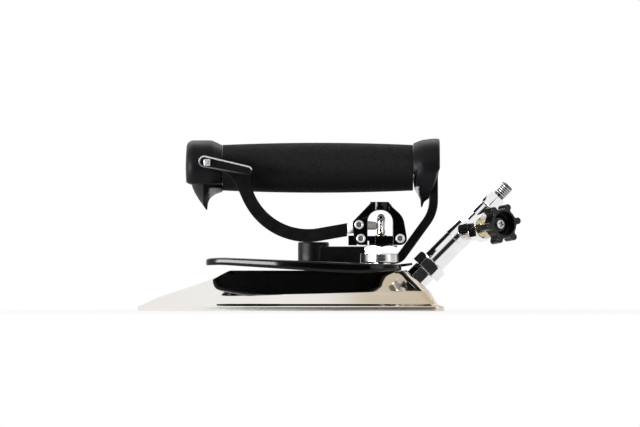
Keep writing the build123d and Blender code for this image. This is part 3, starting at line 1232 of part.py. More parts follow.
# Tang: tail in the arm's end, hub on the pivot, tip in the stem
tip_z = PIVOT_Z - TANG_TIP_DROP
tip_end = VALVE_X + TANG_TIP_OVERRUN
stem_side = VALVE_X - STEM_HEAD_R
with BuildPart() as lever_tang:
    with BuildSketch(yoke_mid):
        with Locations(Location((tail_mid.X, tail_mid.Y), tail_tilt)):
            Rectangle(TANG_TAIL_LENGTH, TANG_TAIL_HEIGHT, align=(Align.MAX, Align.CENTER))
            Rectangle(TANG_TAIL_ROOT, TANG_TAIL_HEIGHT, align=(Align.MIN, Align.CENTER))
    extrude(amount=TANG_TAIL / 2, both=True)
    with BuildSketch(yoke_mid):
        with BuildLine():
            Polyline(
                (arm_end_x + RUN_GAP, PIVOT_Z - TANG_HEEL),
                (PIVOT_X - TANG_HEEL_BACK, PIVOT_Z - TANG_HEEL_FRONT),
                (PIVOT_X, PIVOT_Z - TANG_HUB_R),
                (PIVOT_X + 2.0, tip_z - TANG_HEIGHT / 2),
                (stem_side - TANG_TIP_GAP, tip_z - TANG_HEIGHT / 2),
                (stem_side - TANG_TIP_GAP, tip_z + TANG_HEIGHT / 2),
                (PIVOT_X, PIVOT_Z + TANG_HUB_TOP),
                (arm_end_x + RUN_GAP, PIVOT_Z + TANG_BROW),
                close=True,
            )
        make_face()
    extrude(amount=TANG_THICKNESS / 2, both=True)
    with BuildSketch(yoke_mid):
        with Locations(pivot_point):
            Circle(TANG_HUB_R)
    extrude(amount=CHEEK_INNER - TANG_HUB_ROOM, both=True)
    with BuildSketch(yoke_mid):
        with Locations((stem_side - 1.0, tip_z)):
            Rectangle(
                tip_end - stem_side + 1.0,
                TANG_TIP_HEIGHT,
                align=(Align.MIN, Align.CENTER),
            )
    extrude(amount=TANG_TIP / 2, both=True)
    with BuildSketch(yoke_mid):
        with Locations(pivot_point):
            Circle(YOKE_SCREW_R + RUN)
    extrude(amount=EAR_WIDTH, both=True, mode=Mode.SUBTRACT)

# Valve stem: shaft, split head with the slot for the tang, and an eye on top
head_start = HEAD_TOP + STEM_HEAD_GAP
eye_z = PIVOT_Z + EYE_RISE
with BuildPart() as valve_stem:
    with BuildSketch(valve_axis.offset(DISC_TOP)):
        Circle(STEM_R)
    extrude(amount=head_start - DISC_TOP)
    with BuildSketch(valve_axis.offset(DISC_TOP)):
        Circle(DISC_STUD_R)
    extrude(amount=DISC_ROOF - DISC_HEIGHT + SEAT)
    with BuildSketch(valve_axis.offset(head_start)):
        Circle(STEM_HEAD_R)
    extrude(amount=eye_z - head_start)
    with BuildSketch(yoke_mid):
        with Locations((VALVE_X, eye_z)):
            Circle(EYE_R)
    extrude(amount=EYE_HALF, both=True)
    with BuildSketch(yoke_mid):
        with Locations((VALVE_X, eye_z)):
            Circle(EYE_HOLE_R)
    extrude(amount=THROUGH, both=True, mode=Mode.SUBTRACT)
    with BuildSketch(yoke_mid):
        with Locations((VALVE_X, (head_start + eye_z) / 2)):
            Rectangle(STEM_SLIT, eye_z - head_start - SLIT_ENDS)
    extrude(amount=THROUGH, both=True, mode=Mode.SUBTRACT)
    with Locations((VALVE_X, VALVE_Y, tip_z)):
        Box(
            4 * STEM_HEAD_R,
            TANG_TIP + 2 * TANG_TIP_SIDE,
            TANG_TIP_HEIGHT + 2 * TANG_TIP_ROOM,
            mode=Mode.SUBTRACT,
        )

with BuildPart() as valve_disc:
    with BuildSketch(valve_axis.offset(DISC_BOTTOM)):
        Circle(DISC_R)
    extrude(amount=DISC_HEIGHT - SEAT)
    with BuildSketch(valve_axis.offset(DISC_TOP - SEAT)):
        Circle(DISC_STUD_R + SEAT)
    extrude(amount=DISC_ROOF - DISC_HEIGHT, mode=Mode.SUBTRACT)

# Return spring between the disc and the valve head
spring_start = DISC_TOP + SPRING_WIRE_R + SEAT
spring_height = FLANGE_BOTTOM - SPRING_WIRE_R - SEAT - spring_start
with BuildPart() as return_spring:
    with BuildLine(valve_axis.offset(spring_start)) as spring_path:
        Helix(SPRING_PITCH, spring_height, SPRING_R)
    with BuildSketch(Plane(origin=spring_path.line @ 0, z_dir=spring_path.line % 0)):
        Circle(SPRING_WIRE_R)
    sweep(path=spring_path.line, is_frenet=True)

# Export
os.makedirs("parts", exist_ok=True)
nodes = {
    "sole_plate": sole_plate,
    "iron_body": iron_body,
    "heat_shield": heat_shield,
    "shield_spacers": shield_spacers,
    "handle_base": handle_base,
    "handle_bracket": handle_bracket,
    "base_screws": base_screws,
    "handle_core": handle_core,
    "core_plug": core_plug,
    "handle_bolt": handle_bolt,
    "grip_sleeve": grip_sleeve,
    "front_cap": front_cap,
    "rear_cap": rear_cap,
    "inlet_adapter": inlet_adapter,
    "union_gasket": union_gasket,
    "inlet_nut": inlet_nut,
    "steam_pipe": steam_pipe,
    "control_body": control_body,
    "nipple_washer": nipple_washer,
    "hose_nipple": hose_nipple,
    "bonnet_nut": bonnet_nut,
    "spindle_packing": spindle_packing,
    "spindle_gland": spindle_gland,
    "control_spindle": control_spindle,
    "hand_wheel": hand_wheel,
    "wheel_screw": wheel_screw,
    "valve_body": valve_body,
    "union_nut": union_nut,
    "valve_head": valve_head,
    "stem_packing": stem_packing,
    "gland_ring": gland_ring,
    "yoke": yoke,
    "pivot_screw": pivot_screw,
    "yoke_screws": yoke_screws,
    "yoke_nuts": yoke_nuts,
    "lever_arm": lever_arm,
    "thumb_tab": thumb_tab,
    "tab_rivet": tab_rivet,
    "lever_tang": lever_tang,
    "valve_stem": valve_stem,
    "valve_disc": valve_disc,
    "return_spring": return_spring,
}
for label, node in nodes.items():
    node.part.label = label
    export_step(node.part, f"parts/{label}.step")
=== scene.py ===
"""Looks of the steam pressing iron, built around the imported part.

In metres, nose toward -X, +Z up.
"""

from math import acos, atan2, cos, exp, pi, radians, sin, sqrt, tan, tanh

import bmesh
import bpy
from mathutils import Matrix, Vector


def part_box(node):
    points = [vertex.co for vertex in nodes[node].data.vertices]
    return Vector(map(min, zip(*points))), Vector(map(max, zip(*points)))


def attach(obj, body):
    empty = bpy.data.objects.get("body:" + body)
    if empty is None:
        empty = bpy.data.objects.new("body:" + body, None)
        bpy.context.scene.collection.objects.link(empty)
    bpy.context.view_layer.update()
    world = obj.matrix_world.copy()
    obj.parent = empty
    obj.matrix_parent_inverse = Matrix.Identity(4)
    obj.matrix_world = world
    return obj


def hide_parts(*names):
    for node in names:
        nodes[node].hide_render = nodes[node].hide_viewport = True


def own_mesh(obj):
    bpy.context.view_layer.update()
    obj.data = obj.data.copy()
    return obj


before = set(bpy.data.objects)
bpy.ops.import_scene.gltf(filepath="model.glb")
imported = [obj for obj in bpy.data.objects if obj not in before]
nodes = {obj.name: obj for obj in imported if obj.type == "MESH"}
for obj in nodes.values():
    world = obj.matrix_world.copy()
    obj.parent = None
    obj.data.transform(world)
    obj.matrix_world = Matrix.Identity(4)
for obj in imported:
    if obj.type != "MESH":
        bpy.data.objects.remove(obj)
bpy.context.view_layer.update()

# Camera: level with the sole and far back, framing what the photograph frames
PICTURE_WIDTH = 0.4616
CAMERA_PLACE = Vector((0.0211, -10.0, 0.035))
CAMERA_AIM = Vector((0.0211, 0.0, 0.0701))
SENSOR = 36.0
CLIP_END = 80.0

# Directions
ALONG = Vector((1, 0, 0))
TOWARD = Vector((0, -1, 0))
UP = Vector((0, 0, 1))

# Painted warm reflection on the casting, laid on its colour by its place along X
WARM_REFLECTION_SHARE = 0.85
WARM_REFLECTION_START, WARM_REFLECTION_END = 0.035, 0.095

# Handle
HANDLE_Z = 0.1031
GRIP_END_R = 0.0165
GRIP_MID_R = 0.0181
GRIP_BORE_R = 0.0111
# Reach below and above the handle's axis of the painted shade that darkens the grip's underside
UNDERSIDE_SHADE_BELOW = 0.016
UNDERSIDE_SHADE_ABOVE = 0.004

# Inlet axis, along which the hose nipple sits
INLET_ANGLE = radians(45.5)
INLET_AXIS = Vector((cos(INLET_ANGLE), 0, sin(INLET_ANGLE)))
INLET_UP = Vector((-sin(INLET_ANGLE), 0, cos(INLET_ANGLE)))
INLET_FOOT = Vector((0.0896, 0, 0.0216))
NIPPLE_START = 0.0754
NIPPLE_HEX_LENGTH = 0.010
NIPPLE_AF = 0.0125
RELIEF_LENGTH = 0.0014
THREAD_LENGTH = 0.0095
THREAD_R = 0.0050
THREAD_PITCH = 0.0015
THREAD_DEPTH = 0.0009
HOSE_BORE_R = 0.0026

# Branch axis, which the hand wheel turns on
BRANCH_START = 0.0494
BRANCH_AXIS = Vector((0.557035, -0.822737, 0.113203)).normalized()
BRANCH_FOOT = INLET_FOOT + INLET_AXIS * BRANCH_START
WHEEL_SCREW_SEAT = 0.0464
WHEEL_SCREW_R = 0.0035
WHEEL_SCREW_HEIGHT = 0.0022
WHEEL_SCREW_LENGTH = 0.0090
WHEEL_SCREW_SHANK_R = 0.0016

# Socket screws of the yoke
YOKE_FACE = -0.0312
YOKE_HEAD_R = 0.0033
YOKE_HEAD_HEIGHT = 0.0040
YOKE_SCREW_R = 0.0020
YOKE_SCREW_REACH = 0.0196
CLAMP_SCREWS = [(0.0505, 0.05208), (0.0788, 0.05208)]
PIVOT_SCREW = [(0.0492, 0.06198)]

# Steam valve, on an upright axis
VALVE_X, VALVE_Y = 0.0650, -0.0235
CROWN_R = 0.0079
CROWN_BEVEL = 0.0024
CROWN_BEVEL_DROP = 0.0028
EYE_Z = 0.06718
SLIT_LOW, SLIT_HIGH = 0.05698, 0.06548
SLIT_WIDTH = 0.0012
# Offset from the axis and thickness of the dark plates of painted shade in the slit
SLIT_SHADE_OFFSET = 0.0017
SLIT_SHADE_THICKNESS = 0.0004

# Thumb pad
TAB_FRONT = Vector((-0.0620, 0, 0.10738))
TAB_FRONT_R = 0.0042
TAB_REAR = Vector((-0.0308, 0, 0.10098))
TAB_REAR_R = 0.0033
TAB_BACK_Y = -0.02605
TAB_FACE_Y = -0.03905
RIVET = Vector((-0.0601, 0, 0.10668))
RIVET_SIDE = 0.0048
RIVET_FACE_Y = -0.03945

# Samples of the softened edges
EDGE_SAMPLES = 6


class Nodes:
    """Short ways to lay nodes in the tree of a material or a world."""

    def __init__(self, owner):
        owner.use_nodes = True
        self.tree = owner.node_tree

    def node(self, kind):
        return self.tree.nodes.new("ShaderNode" + kind)

    def link(self, source, target):
        self.tree.links.new(source, target)

    def feed(self, socket, value):
        """Gives an input a number, a colour or what another node puts out."""
        if isinstance(value, bpy.types.NodeSocket):
            self.link(value, socket)
        elif isinstance(value, tuple):
            socket.default_value = (*value, 1)
        else:
            socket.default_value = value

    def maths(self, operation, *values):
        made = self.node("Math")
        made.operation = operation
        for socket, value in zip(made.inputs, values):
            self.feed(socket, value)
        return made.outputs[0]

    def ramp(self, value, ends, low=0.0, high=1.0, kind="SMOOTHSTEP"):
        """A change from low to high between two ends, soft unless another kind is named."""
        made = self.node("MapRange")
        made.interpolation_type = kind
        limits = zip(("From Min", "From Max", "To Min", "To Max"), (*ends, low, high))
        for name, limit in limits:
            made.inputs[name].default_value = limit
        self.link(value, made.inputs["Value"])
        return made.outputs["Result"]

    def blend(self, share, first, second, kind="RGBA"):
        """A colour between two, or a number with the kind FLOAT."""
        mix = self.node("Mix")
        mix.data_type = kind
        for name, value in (("Factor", share), ("A", first), ("B", second)):
            self.feed(mix.inputs[name], value)
        return mix.outputs["Result"]

    def output(self, kind, **inputs):
        """The first output of a new node, with the inputs that are named."""
        made = self.node(kind)
        for name, value in inputs.items():
            self.feed(made.inputs[name], value)
        return made.outputs[0]

    def choose(self, share, first, second):
        """A shader between two."""
        mix = self.node("MixShader")
        for socket, value in zip(mix.inputs, (share, first, second)):
            self.link(value, socket)
        return mix.outputs[0]

    def show(self, kind, shader):
        """Sends a shader to the tree's output."""
        self.link(shader, self.node(kind).inputs["Surface"])


class Finish(Nodes):
    """A surface finish, its colour, gloss and relief from patterns in the piece's own space."""

    def __init__(self, name, colour, metal, rough):
        self.material = bpy.data.materials.new(name)
        super().__init__(self.material)
        self.shader = self.tree.nodes["Principled BSDF"]
        self.give("Base Color", colour)
        self.give("Metallic", metal)
        self.give("Roughness", rough)
        self.place = self.node("TexCoord").outputs["Object"]
        self.normal = None

    def give(self, name, value):
        """Gives the surface a value, or a pattern of values."""
        self.feed(self.shader.inputs[name], value)

    def grain(self, per_metre, detail=3.0, stretch=(1, 1, 1)):
        """Cloudy pattern, stretched into streaks where one direction gets a small factor."""
        mapping = self.node("Mapping")
        mapping.inputs["Scale"].default_value = stretch
        self.link(self.place, mapping.inputs["Vector"])
        place = mapping.outputs["Vector"]
        return self.output("TexNoise", Scale=per_metre, Detail=detail, Vector=place)

    def cells(self, per_metre):
        """Open cells, dark in the middle."""
        return self.output("TexVoronoi", Scale=per_metre, Vector=self.place)

    def along(self, axis):
        """The place along one axis of the piece, in metres."""
        split = self.node("SeparateXYZ")
        self.link(self.place, split.inputs[0])
        return split.outputs[axis]

    def painted(self, name):
        """A value that the piece's own points carry."""
        carried = self.node("Attribute")
        carried.attribute_name = name
        return carried.outputs["Fac"]

    def ranged(self, pattern, low, high, start=0.3, end=0.7):
        """A pattern spread evenly from low to high."""
        return self.ramp(pattern, (start, end), low, high, "LINEAR")

    def gloss(self, pattern, low, high, start=0.3, end=0.7):
        """Roughness between two values."""
        self.give("Roughness", self.ranged(pattern, low, high, start, end))

    def dulled(self, roughness, share, dull):
        """Roughness that rises to a dull value where the share is high."""
        self.give("Roughness", self.blend(share, roughness, dull, "FLOAT"))

    def tint(self, pattern, first, second, start=0.3, end=0.7):
        """Colour between two values."""
        colour = self.blend(self.ranged(pattern, 0, 1, start, end), first, second)
        self.give("Base Color", colour)
        return colour

    def stain(self, colour, share, second):
        """Lays a second colour over the first where the share is high."""
        self.give("Base Color", self.blend(share, colour, second))

    def soften(self, radius):
        """Rounds the look of sharp edges over a radius in metres."""
        edge = self.node("Bevel")
        edge.samples = EDGE_SAMPLES
        edge.inputs["Radius"].default_value = radius
        self.normal = edge.outputs["Normal"]
        self.give("Normal", self.normal)

    def relief(self, pattern, depth):
        """Fine relief, its depth in metres."""
        below = {"Normal": self.normal} if self.normal else {}
        self.normal = self.output("Bump", Strength=1.0, Distance=depth, Height=pattern, **below)
        self.give("Normal", self.normal)


def polished_casting():
    """Warm nickel plate: hair-fine polishing marks, with a painted warm reflection laid on toward
    the rear.
    """
    finish = Finish("plated_casting", colour=(0.86, 0.835, 0.80), metal=1.0, rough=0.05)
    plate = finish.tint(finish.grain(22, 4), (0.88, 0.86, 0.83), (0.84, 0.81, 0.77))
    # Painted reflection: a brown-straw colour grows toward the rear, standing in for the warm room
    # the casting mirrors
    warm_reflection = finish.ranged(finish.along("X"), 0, WARM_REFLECTION_SHARE, WARM_REFLECTION_START, WARM_REFLECTION_END)
    finish.stain(plate, warm_reflection, (0.74, 0.655, 0.55))
    polish = finish.ranged(finish.grain(60, 6, (0.25, 1, 1)), 0.03, 0.09, 0.35, 0.75)
    finish.dulled(polish, finish.painted("dull"), 0.6)
    finish.relief(finish.grain(900, 2, (0.04, 1, 1)), depth=0.0000015)
    finish.relief(finish.grain(24, 1), depth=0.00002)
    return finish


def gloss_paint():
    """Black enamel with a faint orange peel and a little dust in the gloss."""
    finish = Finish("gloss_black", colour=(0.0012, 0.0012, 0.0014), metal=0.0, rough=0.12)
    finish.give("Specular IOR Level", 0.25)
    finish.soften(radius=0.0004)
    finish.tint(finish.grain(180, 3), (0.001, 0.001, 0.0012), (0.002, 0.002, 0.0024))
    peel = finish.ranged(finish.grain(45, 5), 0.06, 0.16, 0.35, 0.8)
    finish.dulled(peel, finish.painted("dull"), 0.85)
    finish.relief(finish.grain(420, 1), depth=0.000012)
    return finish


def satin_paint():
    """Black powder coat with a fine grain."""
    finish = Finish("satin_black", colour=(0.0025, 0.0025, 0.0028), metal=0.0, rough=0.38)
    finish.give("Specular IOR Level", 0.16)
    finish.soften(radius=0.0006)
    finish.tint(finish.grain(300, 3), (0.002, 0.002, 0.0023), (0.004, 0.004, 0.0045))
    finish.gloss(finish.grain(120, 4), 0.3, 0.46)
    finish.relief(finish.grain(1500, 2), depth=0.000015)
    return finish


def moulded_plastic():
    """Black moulded plastic with a cool cast, slightly grained, with pale painted highlights."""
    finish = Finish("black_plastic", colour=(0.003, 0.003, 0.004), metal=0.0, rough=0.4)
    finish.give("Specular IOR Level", 0.15)
    black = finish.tint(finish.grain(90, 4), (0.0025, 0.0025, 0.0034), (0.0045, 0.0045, 0.006))
    # Painted highlight: pale grey where the points carry it
    finish.stain(black, finish.painted("painted_highlight"), (0.55, 0.55, 0.56))
    finish.gloss(finish.grain(70, 5), 0.36, 0.48)
    finish.relief(finish.grain(1300, 2), depth=0.000012)
    return finish


def wheel_plastic():
    """Harder, shinier black plastic of the hand wheel."""
    finish = Finish("wheel_plastic", colour=(0.0015, 0.0015, 0.0018), metal=0.0, rough=0.2)
    finish.give("Specular IOR Level", 0.35)
    finish.soften(radius=0.0008)
    finish.tint(finish.grain(200, 3), (0.001, 0.001, 0.0013), (0.003, 0.003, 0.0035))
    finish.gloss(finish.grain(150, 4), 0.14, 0.27)
    finish.relief(finish.grain(1100, 2), depth=0.000008)
    return finish


def foam_rubber():
    """Charcoal foam: fine pores, matt, with slightly paler cell walls, and painted shade darkening
    it toward its underside.
    """
    finish = Finish("black_foam", colour=(0.007, 0.007, 0.0074), metal=0.0, rough=0.9)
    finish.give("Specular IOR Level", 0.12)
    finish.give("Sheen Weight", 0.03)
    finish.give("Sheen Roughness", 0.4)
    pores = finish.cells(1500)
    foam = finish.tint(pores, (0.004, 0.004, 0.0042), (0.017, 0.0165, 0.0168), 0.15, 0.75)
    # Painted shade: darker toward the bottom of the grip
    low, high = HANDLE_Z - UNDERSIDE_SHADE_BELOW, HANDLE_Z + UNDERSIDE_SHADE_ABOVE
    underside_shade = finish.ranged(finish.along("Z"), 1, 0, low, high)
    finish.stain(foam, underside_shade, (0.0012, 0.0012, 0.0013))
    finish.gloss(finish.grain(250, 4), 0.78, 0.95)
    finish.relief(pores, depth=0.00018)
    finish.relief(finish.grain(420, 4), depth=0.0002)
    return finish


def bright_chrome():
    """Cool bright chrome with the faintest wipe marks, and painted shade where the points carry it.
    """
    finish = Finish("bright_chrome", colour=(0.88, 0.88, 0.89), metal=1.0, rough=0.06)
    plate = finish.tint(finish.grain(80, 4), (0.91, 0.91, 0.92), (0.84, 0.84, 0.85))
    # Painted shade: dark brown-grey where the points carry it, in the thread's roots
    finish.stain(plate, finish.painted("painted_shade"), (0.05, 0.045, 0.04))
    finish.soften(radius=0.0005)
    finish.gloss(finish.grain(160, 5), 0.04, 0.13, 0.4, 0.8)
    finish.relief(finish.grain(160, 2), depth=0.00001)
    return finish


def turned_nickel():
    """Nickel with fine level turning and brushing lines, and painted shade where the points carry
    it.
    """
    finish = Finish("brushed_nickel", colour=(0.80, 0.79, 0.765), metal=1.0, rough=0.16)
    lines = finish.grain(60, 3, (0.6, 0.6, 60))
    finish.soften(radius=0.0005)
    nickel = finish.tint(lines, (0.85, 0.84, 0.82), (0.74, 0.725, 0.695))
    # Painted shade: near black where the points carry it, in the stem's slit and eye
    finish.stain(nickel, finish.painted("painted_shade"), (0.012, 0.011, 0.010))
    finish.dulled(finish.ranged(lines, 0.1, 0.22), finish.painted("dull"), 0.5)
    finish.relief(lines, depth=0.000004)
    return finish


def bright_screw():
    """Bright zinc of the screws, dulled by handling, with painted shade darkening the recesses."""
    finish = Finish("bright_screws", colour=(0.84, 0.84, 0.835), metal=1.0, rough=0.4)
    zinc = finish.tint(finish.grain(500, 3), (0.88, 0.88, 0.875), (0.78, 0.78, 0.77))
    # Painted shade: near black where the points carry it, in the recesses
    finish.stain(zinc, finish.painted("painted_shade"), (0.012, 0.012, 0.013))
    finish.gloss(finish.grain(700, 4), 0.34, 0.5)
    return finish


def plain_steel():
    """Drawn steel with lengthwise streaks."""
    finish = Finish("plain_steel", colour=(0.46, 0.46, 0.45), metal=1.0, rough=0.32)
    streaks = finish.grain(90, 4, (0.08, 1, 1))
    finish.tint(streaks, (0.52, 0.52, 0.51), (0.38, 0.375, 0.365))
    finish.gloss(streaks, 0.26, 0.42)
    return finish


def gland_brass():
    """Polished brass, a little darkened."""
    finish = Finish("brass", colour=(0.72, 0.56, 0.30), metal=1.0, rough=0.16)
    finish.tint(finish.grain(260, 4), (0.80, 0.66, 0.40), (0.55, 0.40, 0.18))
    finish.gloss(finish.grain(320, 4), 0.12, 0.26)
    return finish


def seal_fibre():
    """Brown pressed fibre of the seals."""
    finish = Finish("sealing", colour=(0.20, 0.11, 0.06), metal=0.0, rough=0.75)
    finish.tint(finish.grain(900, 4), (0.15, 0.08, 0.045), (0.27, 0.16, 0.09))
    finish.gloss(finish.grain(500, 3), 0.65, 0.85)
    finish.relief(finish.grain(1600, 3), depth=0.00004)
    return finish


def spacer_resin():
    """Brown-black resin of the spacers."""
    finish = Finish("phenolic", colour=(0.018, 0.011, 0.008), metal=0.0, rough=0.45)
    finish.tint(finish.grain(240, 5), (0.012, 0.008, 0.006), (0.032, 0.019, 0.012))
    finish.gloss(finish.grain(400, 3), 0.38, 0.58)
    return finish


finishes = {
    "plated_casting": polished_casting(),
    "gloss_black": gloss_paint(),
    "satin_black": satin_paint(),
    "black_plastic": moulded_plastic(),
    "wheel_plastic": wheel_plastic(),
    "black_foam": foam_rubber(),
    "bright_chrome": bright_chrome(),
    "brushed_nickel": turned_nickel(),
    "bright_screws": bright_screw(),
    "plain_steel": plain_steel(),
    "brass": gland_brass(),
    "sealing": seal_fibre(),
    "phenolic": spacer_resin(),
}

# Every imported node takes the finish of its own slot
for node in nodes.values():
    for place in node.material_slots:
        slot_name = place.material.name.split(".")[0]
        place.material = finishes[slot_name].material

# Lengths closer than the first count as equal; points closer than the second are merged
TINY = 0.000001
MERGE = 0.000005


def placed(name, data):
    """A new object in the scene."""
    made = bpy.data.objects.new(name, data)
    bpy.context.collection.objects.link(made)
    return made


def make_piece(name, mesh, slot, body, smooth_angle=35):
    """Turns a finished bmesh into a piece that rides on a body and wears a slot's finish."""
    bmesh.ops.remove_doubles(mesh, verts=mesh.verts, dist=MERGE)
    bmesh.ops.recalc_face_normals(mesh, faces=mesh.faces)
    data = bpy.data.meshes.new(name)
    mesh.to_mesh(data)
    mesh.free()
    data.shade_smooth()
    data.set_sharp_from_angle(angle=radians(smooth_angle))
    piece = placed(name, data)
    data.materials.append(finishes[slot].material)
    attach(piece, body)
    return piece


def fresh_mesh():
    """An empty mesh whose points can carry painted shade."""
    mesh = bmesh.new()
    mesh.verts.layers.float.new("painted_shade")
    return mesh


def joined_copy(node):
    """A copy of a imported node's mesh, its loose triangles joined."""
    mesh = bmesh.new()
    mesh.from_mesh(nodes[node].data)
    bmesh.ops.remove_doubles(mesh, verts=mesh.verts, dist=TINY)
    return mesh


def within(value):
    """The value, held between 0 and 1."""
    return min(max(value, 0), 1)


def polar(spot, origin, axis):
    """A point's place along an axis and its distance from it."""
    away = spot - origin
    along = away.dot(axis)
    return along, (away - axis * along).length


def points_of(items):
    """The points among what an operator made."""
    return [item for item in items if isinstance(item, bmesh.types.BMVert)]


def mark_new(mesh, before, layer, value):
    """Marks the points that came after a set of them was taken."""
    for point in set(mesh.verts) - before:
        point[layer] = value


def round_edges(mesh, edges, size, segments):
    """Rounds off edges."""
    bmesh.ops.bevel(
        mesh,
        geom=edges,
        offset=size,
        offset_type="OFFSET",
        segments=segments,
        profile=0.5,
        affect="EDGES",
        material=-1,
    )


def chain(mesh, points, closed=False):
    """Joins points into a line of edges."""
    corners = [mesh.verts.new(point) for point in points]
    pairs = list(zip(corners, corners[1:]))
    if closed:
        pairs.append((corners[-1], corners[0]))
    return corners, [mesh.edges.new(pair) for pair in pairs]


def spin_profile(mesh, profile, origin, axis, side, steps=48):
    """Spins a profile of (along, radius) points once about an axis."""
    points = [origin + axis * along + side * radius for along, radius in profile]
    corners, edges = chain(mesh, points)
    bmesh.ops.spin(
        mesh,
        geom=corners + edges,
        cent=origin,
        axis=axis,
        angle=2 * pi,
        steps=steps,
        use_merge=True,
    )


def rounded(along, radius, size, steps=5):
    """Points of a quarter-round edge that ends a profile's outward run at its top."""
    points = []
    for step in range(steps + 1):
        turn = pi / 2 * step / steps
        points.append((along - size + size * cos(turn), radius - size + size * sin(turn)))
    return points


# Painted shade of a recess: at its rim, along its floor's edge and in its middle
RIM_SHADE = 0.6
EDGE_SHADE = 1.0
MIDDLE_SHADE = 0.1


def recess(mesh, rim, corners, axis, sink, depth, cuts):
    """Joins an open round rim to a cornered recess of the given depth, and marks it with painted
    shade.
    """
    painted_shade = mesh.verts.layers.float["painted_shade"]
    before = set(mesh.edges)
    sides = chain(mesh, [corner - axis * sink for corner in corners], closed=True)[1]
    bmesh.ops.subdivide_edges(mesh, edges=sides, cuts=cuts)
    loop_edges = [edge for edge in mesh.edges if edge not in before]
    bmesh.ops.bridge_loops(mesh, edges=rim + loop_edges)
    walls = bmesh.ops.extrude_edge_only(mesh, edges=loop_edges)["geom"]
    low = points_of(walls)
    bmesh.ops.translate(mesh, verts=low, vec=-axis * depth)
    edges = [item for item in walls if isinstance(item, bmesh.types.BMEdge)]
    floor_edges = [edge for edge in edges if all(point in low for point in edge.verts)]
    floor = bmesh.ops.edgeloop_fill(mesh, edges=floor_edges)["faces"]
    middle = bmesh.ops.poke(mesh, faces=floor)["verts"]
    for point in low:
        point[painted_shade] = EDGE_SHADE
    for point in middle:
        point[painted_shade] = MIDDLE_SHADE
    for edge in loop_edges:
        for point in edge.verts:
            point[painted_shade] = RIM_SHADE


def rim_edges(mesh, origin, axis, along, radius):
    """The edges of the ring that lies at a place along an axis, at a radius."""
    def on_ring(point):
        height, reach = polar(point.co, origin, axis)
        return abs(height - along) < TINY and abs(reach - radius) < TINY

    return [edge for edge in mesh.edges if all(on_ring(point) for point in edge.verts)]


def ring_points(origin, side, other, radius, count):
    """Points evenly round a circle."""
    angles = [2 * pi * step / count for step in range(count)]
    return [origin + side * (radius * cos(a)) + other * (radius * sin(a)) for a in angles]


CORNER_CUT = 0.25


def smoothed(levels, rounds=3):
    """Cuts the corners of a run of levels until it bends softly; its two ends stay."""
    for _ in range(rounds):
        run = [levels[0]]
        for low, high in zip(levels, levels[1:]):
            for share in (CORNER_CUT, 1 - CORNER_CUT):
                run.append(tuple((1 - share) * a + share * b for a, b in zip(low, high)))
        levels = run + [levels[-1]]
    return levels


def arc(x, y, radius, start, end, steps):
    """Points along an arc, without its last one."""
    turns = [start + (end - start) * step / steps for step in range(steps)]
    return [(x + radius * cos(turn), y + radius * sin(turn)) for turn in turns]


# Steps round an iron's plan
NOSE_STEPS, SIDE_STEPS, FLANK_STEPS, CORNER_STEPS, TAIL_STEPS = 8, 36, 16, 12, 8


def iron_outline(nose, rear, half, nose_r, corner_r, widest):
    """Points round an iron's plan: nose, long side, flank, rear corner and tail, both sides."""
    reach = widest - nose - nose_r
    side_r = (reach**2 + half**2 - nose_r**2) / (2 * (half - nose_r))
    meet = atan2(side_r - half, -reach)
    flank = rear - corner_r - widest
    tail = half - corner_r
    points = arc(nose + nose_r, 0, nose_r, pi, meet, NOSE_STEPS)
    points += arc(widest, half - side_r, side_r, meet, pi / 2, SIDE_STEPS)
    points += [(widest + flank * step / FLANK_STEPS, half) for step in range(FLANK_STEPS)]
    points += arc(rear - corner_r, tail, corner_r, pi / 2, 0, CORNER_STEPS)
    points += [(rear, tail * (1 - step / TAIL_STEPS)) for step in range(TAIL_STEPS + 1)]
    return points + [(x, -y) for x, y in points[-2:0:-1]]


def skin(mesh, loops):
    """Bridges a run of closed loops into one skin and fills its two ends."""
    runs = [chain(mesh, loop, closed=True)[1] for loop in loops]
    for low, high in zip(runs, runs[1:]):
        bmesh.ops.bridge_loops(mesh, edges=low + high)
    for end in (runs[0], runs[-1]):
        bmesh.ops.edgeloop_fill(mesh, edges=end)


# Casting: one soft skin from the flared foot to the top, swelling over the steam valve's boss.
# A level is nose, rear, half width, nose radius, corner radius, widest place and the heights
# at nose and rear.
CASTING_LEVELS = [
    (-0.1086, 0.1086, 0.0551, 0.0050, 0.0071, 0.0580, 0.0037, 0.0037),
    (-0.1063, 0.1063, 0.0528, 0.0046, 0.0062, 0.0580, 0.0047, 0.0047),
    (-0.1056, 0.1056, 0.0521, 0.0045, 0.0060, 0.0580, 0.0050, 0.0050),
    (-0.1048, 0.1051, 0.0517, 0.0045, 0.0061, 0.0578, 0.0054, 0.0058),
    (-0.0979, 0.1011, 0.0478, 0.0050, 0.0077, 0.0555, 0.0088, 0.0126),
    (-0.0965, 0.1003, 0.0470, 0.0050, 0.0080, 0.0550, 0.0095, 0.0140),
    (-0.0928, 0.0994, 0.0459, 0.0051, 0.0081, 0.0545, 0.0107, 0.0148),
    (-0.0597, 0.0918, 0.0356, 0.0060, 0.0090, 0.0500, 0.0216, 0.0216),
    (-0.0448, 0.0836, 0.0285, 0.0070, 0.0090, 0.0460, 0.0290, 0.0290),
    (-0.0418, 0.0806, 0.0255, 0.0060, 0.0070, 0.0460, 0.0290, 0.0290),
]
BOSS_X = 0.064
BOSS_WIDTH = 0.011
BOSS_SWELL = 0.0050
SWELL_FOOT = 0.012
SWELL_HEIGHT = 0.017
SWELL_POWER = 1.5
SWELL_SIDE = 0.02
DULL_ABOVE = 0.0285
INLET_BOSS = [(-0.016, 0.0105), (0.0006, 0.0105), (0.0012, 0.0099), (0.0012, 0)]


